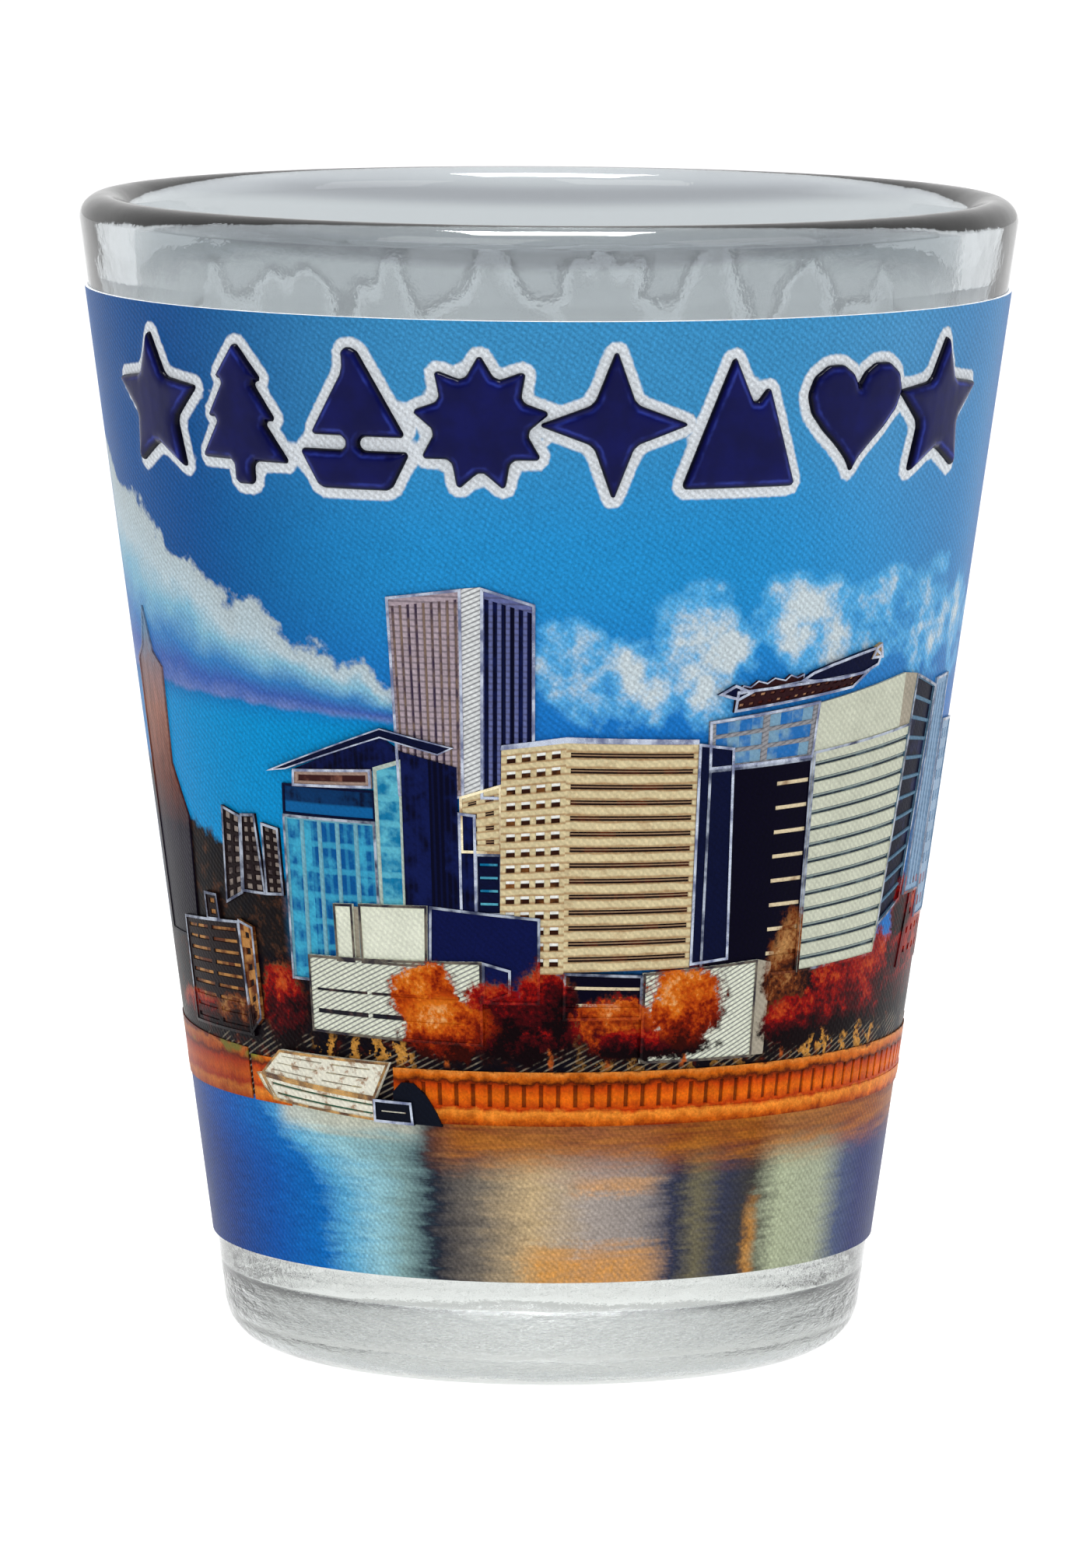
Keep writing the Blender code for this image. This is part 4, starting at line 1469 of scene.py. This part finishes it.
class SHOTGLASS_OT_old_town(Operator):
    """Build the small old blocks and the spire on the left, and the distant blocks on the right"""

    bl_idname = "shotglass.old_town"
    bl_label = "Old town"

    def execute(self, context):
        relief = context.scene.shot_glass_skyline.relief * 0.45
        small = (
            ((-19.2, 24.4), (-17.6, 25.1), (-17.2, 29.2), (-18.7, 29.6)),
            ((-17.6, 25.2), (-15.8, 25.2), (-16.1, 29.4), (-17.2, 29.3)),
            ((-15.8, 25.2), (-14.5, 25.3), (-14.5, 28.8), (-15.7, 29.0)),
        )
        looks = ("old_stone", "grey_panes", "dim_line")
        for place, corners in enumerate(small):
            name = f"old_block_{place + 1}"
            add_face(name, corners, bays(2, 0.22, 0.40), bays(8, 0.18, 0.36), looks, relief)
        looks = ("old_stone", "old_panes", "dim_line")
        midrise = ((-24.6, 17.6), (-17.9, 17.6), (-18.3, 23.6), (-24.4, 23.2))
        turret = ((-21.4, 23.3), (-20.0, 23.4), (-20.1, 24.8), (-21.4, 24.8))
        pier = ((-18.2, 17.6), (-17.1, 18.6), (-17.1, 23.4), (-18.3, 23.7))
        add_face("midrise", midrise, bays(2, 0.5, 3.0), bays(9, 0.34, 0.2), looks, relief * 1.1)
        add_face("midrise_turret", turret, bays(1, 0.3, 0.4), bays(2, 0.3, 0.3), looks, relief * 1.1)
        looks = ("old_panes", "old_stone", "dim_line")
        add_face("midrise_pier", pier, bays(1, 0.3, 0.3), bays(6, 0.4, 0.3), looks, relief * 1.3)
        spire = (
            (-27.8, 22.0), (-22.9, 22.0), (-22.3, 28.6), (-23.7, 31.2), (-23.4, 36.2), (-24.5, 36.9),
            (-25.3, 39.2), (-26.2, 37.1), (-27.4, 36.3), (-27.7, 30.0),
        )
        add_plate("spire", spire, ("spire_stone",) * 3, relief * 0.4)
        far = ((24.0, 24.5), (26.6, 24.5), (26.5, 35.9), (24.5, 35.8))
        farther = ((26.6, 23.0), (29.9, 23.0), (29.7, 33.2), (26.8, 33.4))
        red = ((24.6, 20.6), (31.4, 20.6), (31.2, 25.8), (25.4, 25.2))
        looks = ("far_stone", "far_shade", "dim_line")
        add_face("far_tower", far, bays(4, 0.3, 0.3), bays(1, 0.4, 10.0), looks, relief * 0.6)
        add_face("farther_tower", farther, bays(3, 0.5, 0.5), bays(9, 0.5, 0.5), looks, relief * 0.7)
        looks = ("red_stone", "old_panes", "dim_line")
        add_face("red_block", red, bays(6, 0.5, 0.3), bays(4, 0.6, 0.3), looks, relief * 0.5, framed=False)
        return {"FINISHED"}


class SHOTGLASS_OT_quay(Operator):
    """Build the arcaded wall along the water"""

    bl_idname = "shotglass.quay"
    bl_label = "Quay"

    def execute(self, context):
        relief = context.scene.shot_glass_skyline.relief
        right = ((-8.4, 14.05), (31.6, 14.05), (31.6, 16.95), (-8.4, 16.85))
        ledge = ((-8.4, 14.3), (31.6, 14.3), (31.6, 14.9), (-8.4, 14.85))
        left = ((-31.6, 14.2), (-18.9, 14.2), (-18.9, 16.9), (-31.6, 17.3))
        landing = ((-18.6, 14.2), (-15.5, 14.2), (-15.5, 16.6), (-18.6, 16.6))
        looks = ("quay_stone", "quay_arches", "gold_line")
        rows = wall(1.0) + opening(1.25) + wall(0.65)
        add_face("quay_right", right, bays(42, 0.64, 0.28), rows, looks, relief * 0.32, framed=False)
        add_face("quay_ledge", ledge, wall(), wall(), looks, relief * 0.45, framed=False)
        add_face("quay_left", left, wall(), wall(), looks, relief * 0.25, framed=False)
        add_face("quay_landing", landing, wall(), wall(), looks, relief * 0.3, framed=False)
        return {"FINISHED"}


class SHOTGLASS_OT_boat(Operator):
    """Build the river boat"""

    bl_idname = "shotglass.boat"
    bl_label = "Boat"

    def execute(self, context):
        relief = context.scene.shot_glass_skyline.relief
        hull = ((-16.6, 14.45), (-9.5, 14.0), (-9.5, 15.15), (-17.5, 15.75))
        decks = ((-17.5, 15.75), (-9.5, 15.15), (-8.5, 17.1), (-15.8, 17.15))
        bow = ((-17.9, 15.75), (-17.3, 15.0), (-16.5, 14.45), (-16.2, 14.45), (-17.3, 15.8))
        stern = ((-9.6, 13.95), (-7.2, 13.9), (-7.3, 15.1), (-9.6, 15.15))
        arch = (
            (-8.4, 14.0), (-5.6, 13.9), (-5.9, 14.6), (-6.5, 15.5), (-7.2, 16.1), (-7.9, 16.1),
            (-8.4, 15.6),
        )
        looks = ("boat_paint", "boat_panes", "gold_line")
        add_plate("boat_arch", arch, ("boat_hull", "boat_hull", "dark_line"), relief * 0.9, framed=False)
        cells = wall(0.5) + opening(3.0) + wall(0.6) + opening(2.6) + wall(1.0)
        add_face("boat_decks", decks, cells, bays(3, 0.5, 0.13), looks, relief * 1.1)
        looks = ("boat_paint", "boat_stripes", "gold_line")
        cells = wall(0.5) + opening(7.0) + wall(0.1)
        add_face("boat_hull", hull, cells, bays(2, 0.3, 0.16), looks, relief * 1.15)
        add_plate("boat_bow", bow, looks, relief * 1.12, rim=0.08 * MM)
        looks = ("boat_hull", "boat_paint", "silver_line")
        add_face("boat_stern", stern, bays(1, 0.4, 1.5), bays(1, 0.5, 0.12), looks, relief * 1.2)
        return {"FINISHED"}


class SHOTGLASS_OT_stage(Operator):
    """Lay the floor and set the lights and the camera"""

    bl_idname = "shotglass.stage"
    bl_label = "Stage"

    def execute(self, context):
        look = context.scene.shot_glass_stage
        self.floor(look)
        self.light("key_light", (-0.35, -0.75, 0.75), 0.6, look.key)
        self.light("fill_light", (0.60, -0.45, 0.45), 0.5, look.fill)
        self.light("top_light", (0.0, -0.03, 0.32), 0.12, look.top)
        self.world(context.scene)
        data = bpy.data.cameras.new("camera")
        data.lens = look.lens
        data.sensor_width = 36.0
        data.clip_start = 0.01
        camera = bpy.data.objects.new("camera", data)
        turn = Matrix.Rotation(math.pi / 2 - look.pitch, 4, "X") @ Matrix.Rotation(look.roll, 4, "Z")
        camera.matrix_world = Matrix.Translation(look.camera) @ turn
        context.scene.collection.objects.link(camera)
        context.scene.camera = camera
        context.scene.view_settings.view_transform = "Standard"
        return {"FINISHED"}

    def floor(self, look):
        """A pale sheet that glows a little, as on a light table."""
        deselect_all()
        bpy.ops.mesh.primitive_grid_add(
            x_subdivisions=4, y_subdivisions=4, size=6.0, location=(0, 0, -0.0002)
        )
        obj = bpy.context.object
        obj.name = "floor"
        bpy.ops.object.transform_apply(location=True, rotation=True, scale=True)
        recipe = Recipe("pale_floor")
        tooth = recipe.noise(recipe.body(), 0.05, 2.0)
        tone = recipe.shaded(look.floor, 0.99 + tooth * 0.01)
        material = recipe.finish(
            Base_Color=tone, Roughness=0.8, Emission_Color=(1, 1, 1, 1), Emission_Strength=look.floor_glow
        )
        obj.data.materials.append(material)

    def light(self, name, place, size, power):
        data = bpy.data.lights.new(name, "AREA")
        data.shape = "RECTANGLE"
        data.size = size
        data.size_y = size
        data.energy = power
        lamp = bpy.data.objects.new(name, data)
        lamp.location = place
        lamp.rotation_euler = (-lamp.location).to_track_quat("-Z", "Y").to_euler()
        bpy.context.scene.collection.objects.link(lamp)

    def world(self, scene):
        """A soft room: bright behind the glass, dimmer behind the camera."""
        scene.world = bpy.data.worlds.new("studio")
        scene.world.use_nodes = True
        nodes = scene.world.node_tree.nodes
        links = scene.world.node_tree.links
        place = nodes.new("ShaderNodeTexCoord")
        split = nodes.new("ShaderNodeSeparateXYZ")
        links.new(place.outputs["Generated"], split.inputs[0])
        ramp = nodes.new("ShaderNodeValToRGB")
        ramp.color_ramp.elements[0].color = (0.42, 0.43, 0.45, 1)
        ramp.color_ramp.elements[1].color = (1.0, 1.0, 1.0, 1)
        shift = nodes.new("ShaderNodeMapRange")
        shift.inputs["From Min"].default_value = -0.6
        shift.inputs["From Max"].default_value = 0.5
        links.new(split.outputs["Y"], shift.inputs["Value"])
        links.new(shift.outputs[0], ramp.inputs[0])
        links.new(ramp.outputs[0], nodes["Background"].inputs["Color"])
        nodes["Background"].inputs["Strength"].default_value = 0.85


class SHOTGLASS_PT_panel(Panel):
    """Lists the steps that build the glass"""

    bl_label = "Shot Glass"
    bl_idname = "SHOTGLASS_PT_panel"
    bl_space_type = "VIEW_3D"
    bl_region_type = "UI"
    bl_category = "Shot Glass"

    def draw(self, context):
        for step in STEPS:
            self.layout.operator(step.bl_idname)


SETTINGS = {
    "shot_glass_tumbler": ShotGlassTumbler,
    "shot_glass_print": ShotGlassPrint,
    "shot_glass_skyline": ShotGlassSkyline,
    "shot_glass_enamel": ShotGlassEnamel,
    "shot_glass_stage": ShotGlassStage,
}
STEPS = (
    SHOTGLASS_OT_tumbler,
    SHOTGLASS_OT_film,
    SHOTGLASS_OT_motifs,
    SHOTGLASS_OT_tall_tower,
    SHOTGLASS_OT_slab,
    SHOTGLASS_OT_hall,
    SHOTGLASS_OT_low_blocks,
    SHOTGLASS_OT_twin_towers,
    SHOTGLASS_OT_old_town,
    SHOTGLASS_OT_quay,
    SHOTGLASS_OT_boat,
    SHOTGLASS_OT_stage,
)


def register():
    for group in SETTINGS.values():
        bpy.utils.register_class(group)
    for name, group in SETTINGS.items():
        setattr(bpy.types.Scene, name, PointerProperty(type=group))
    for step in STEPS:
        bpy.utils.register_class(step)
    bpy.utils.register_class(SHOTGLASS_PT_panel)


def unregister():
    bpy.utils.unregister_class(SHOTGLASS_PT_panel)
    for step in reversed(STEPS):
        bpy.utils.unregister_class(step)
    for name in SETTINGS:
        delattr(bpy.types.Scene, name)
    for group in reversed(SETTINGS.values()):
        bpy.utils.unregister_class(group)


def main():
    register()
    bpy.ops.shotglass.tumbler()
    bpy.ops.shotglass.film()
    bpy.ops.shotglass.motifs()
    bpy.ops.shotglass.tall_tower()
    bpy.ops.shotglass.slab()
    bpy.ops.shotglass.hall()
    bpy.ops.shotglass.low_blocks()
    bpy.ops.shotglass.twin_towers()
    bpy.ops.shotglass.old_town()
    bpy.ops.shotglass.quay()
    bpy.ops.shotglass.boat()
    bpy.ops.shotglass.stage()


if __name__ == "__main__":
    main()
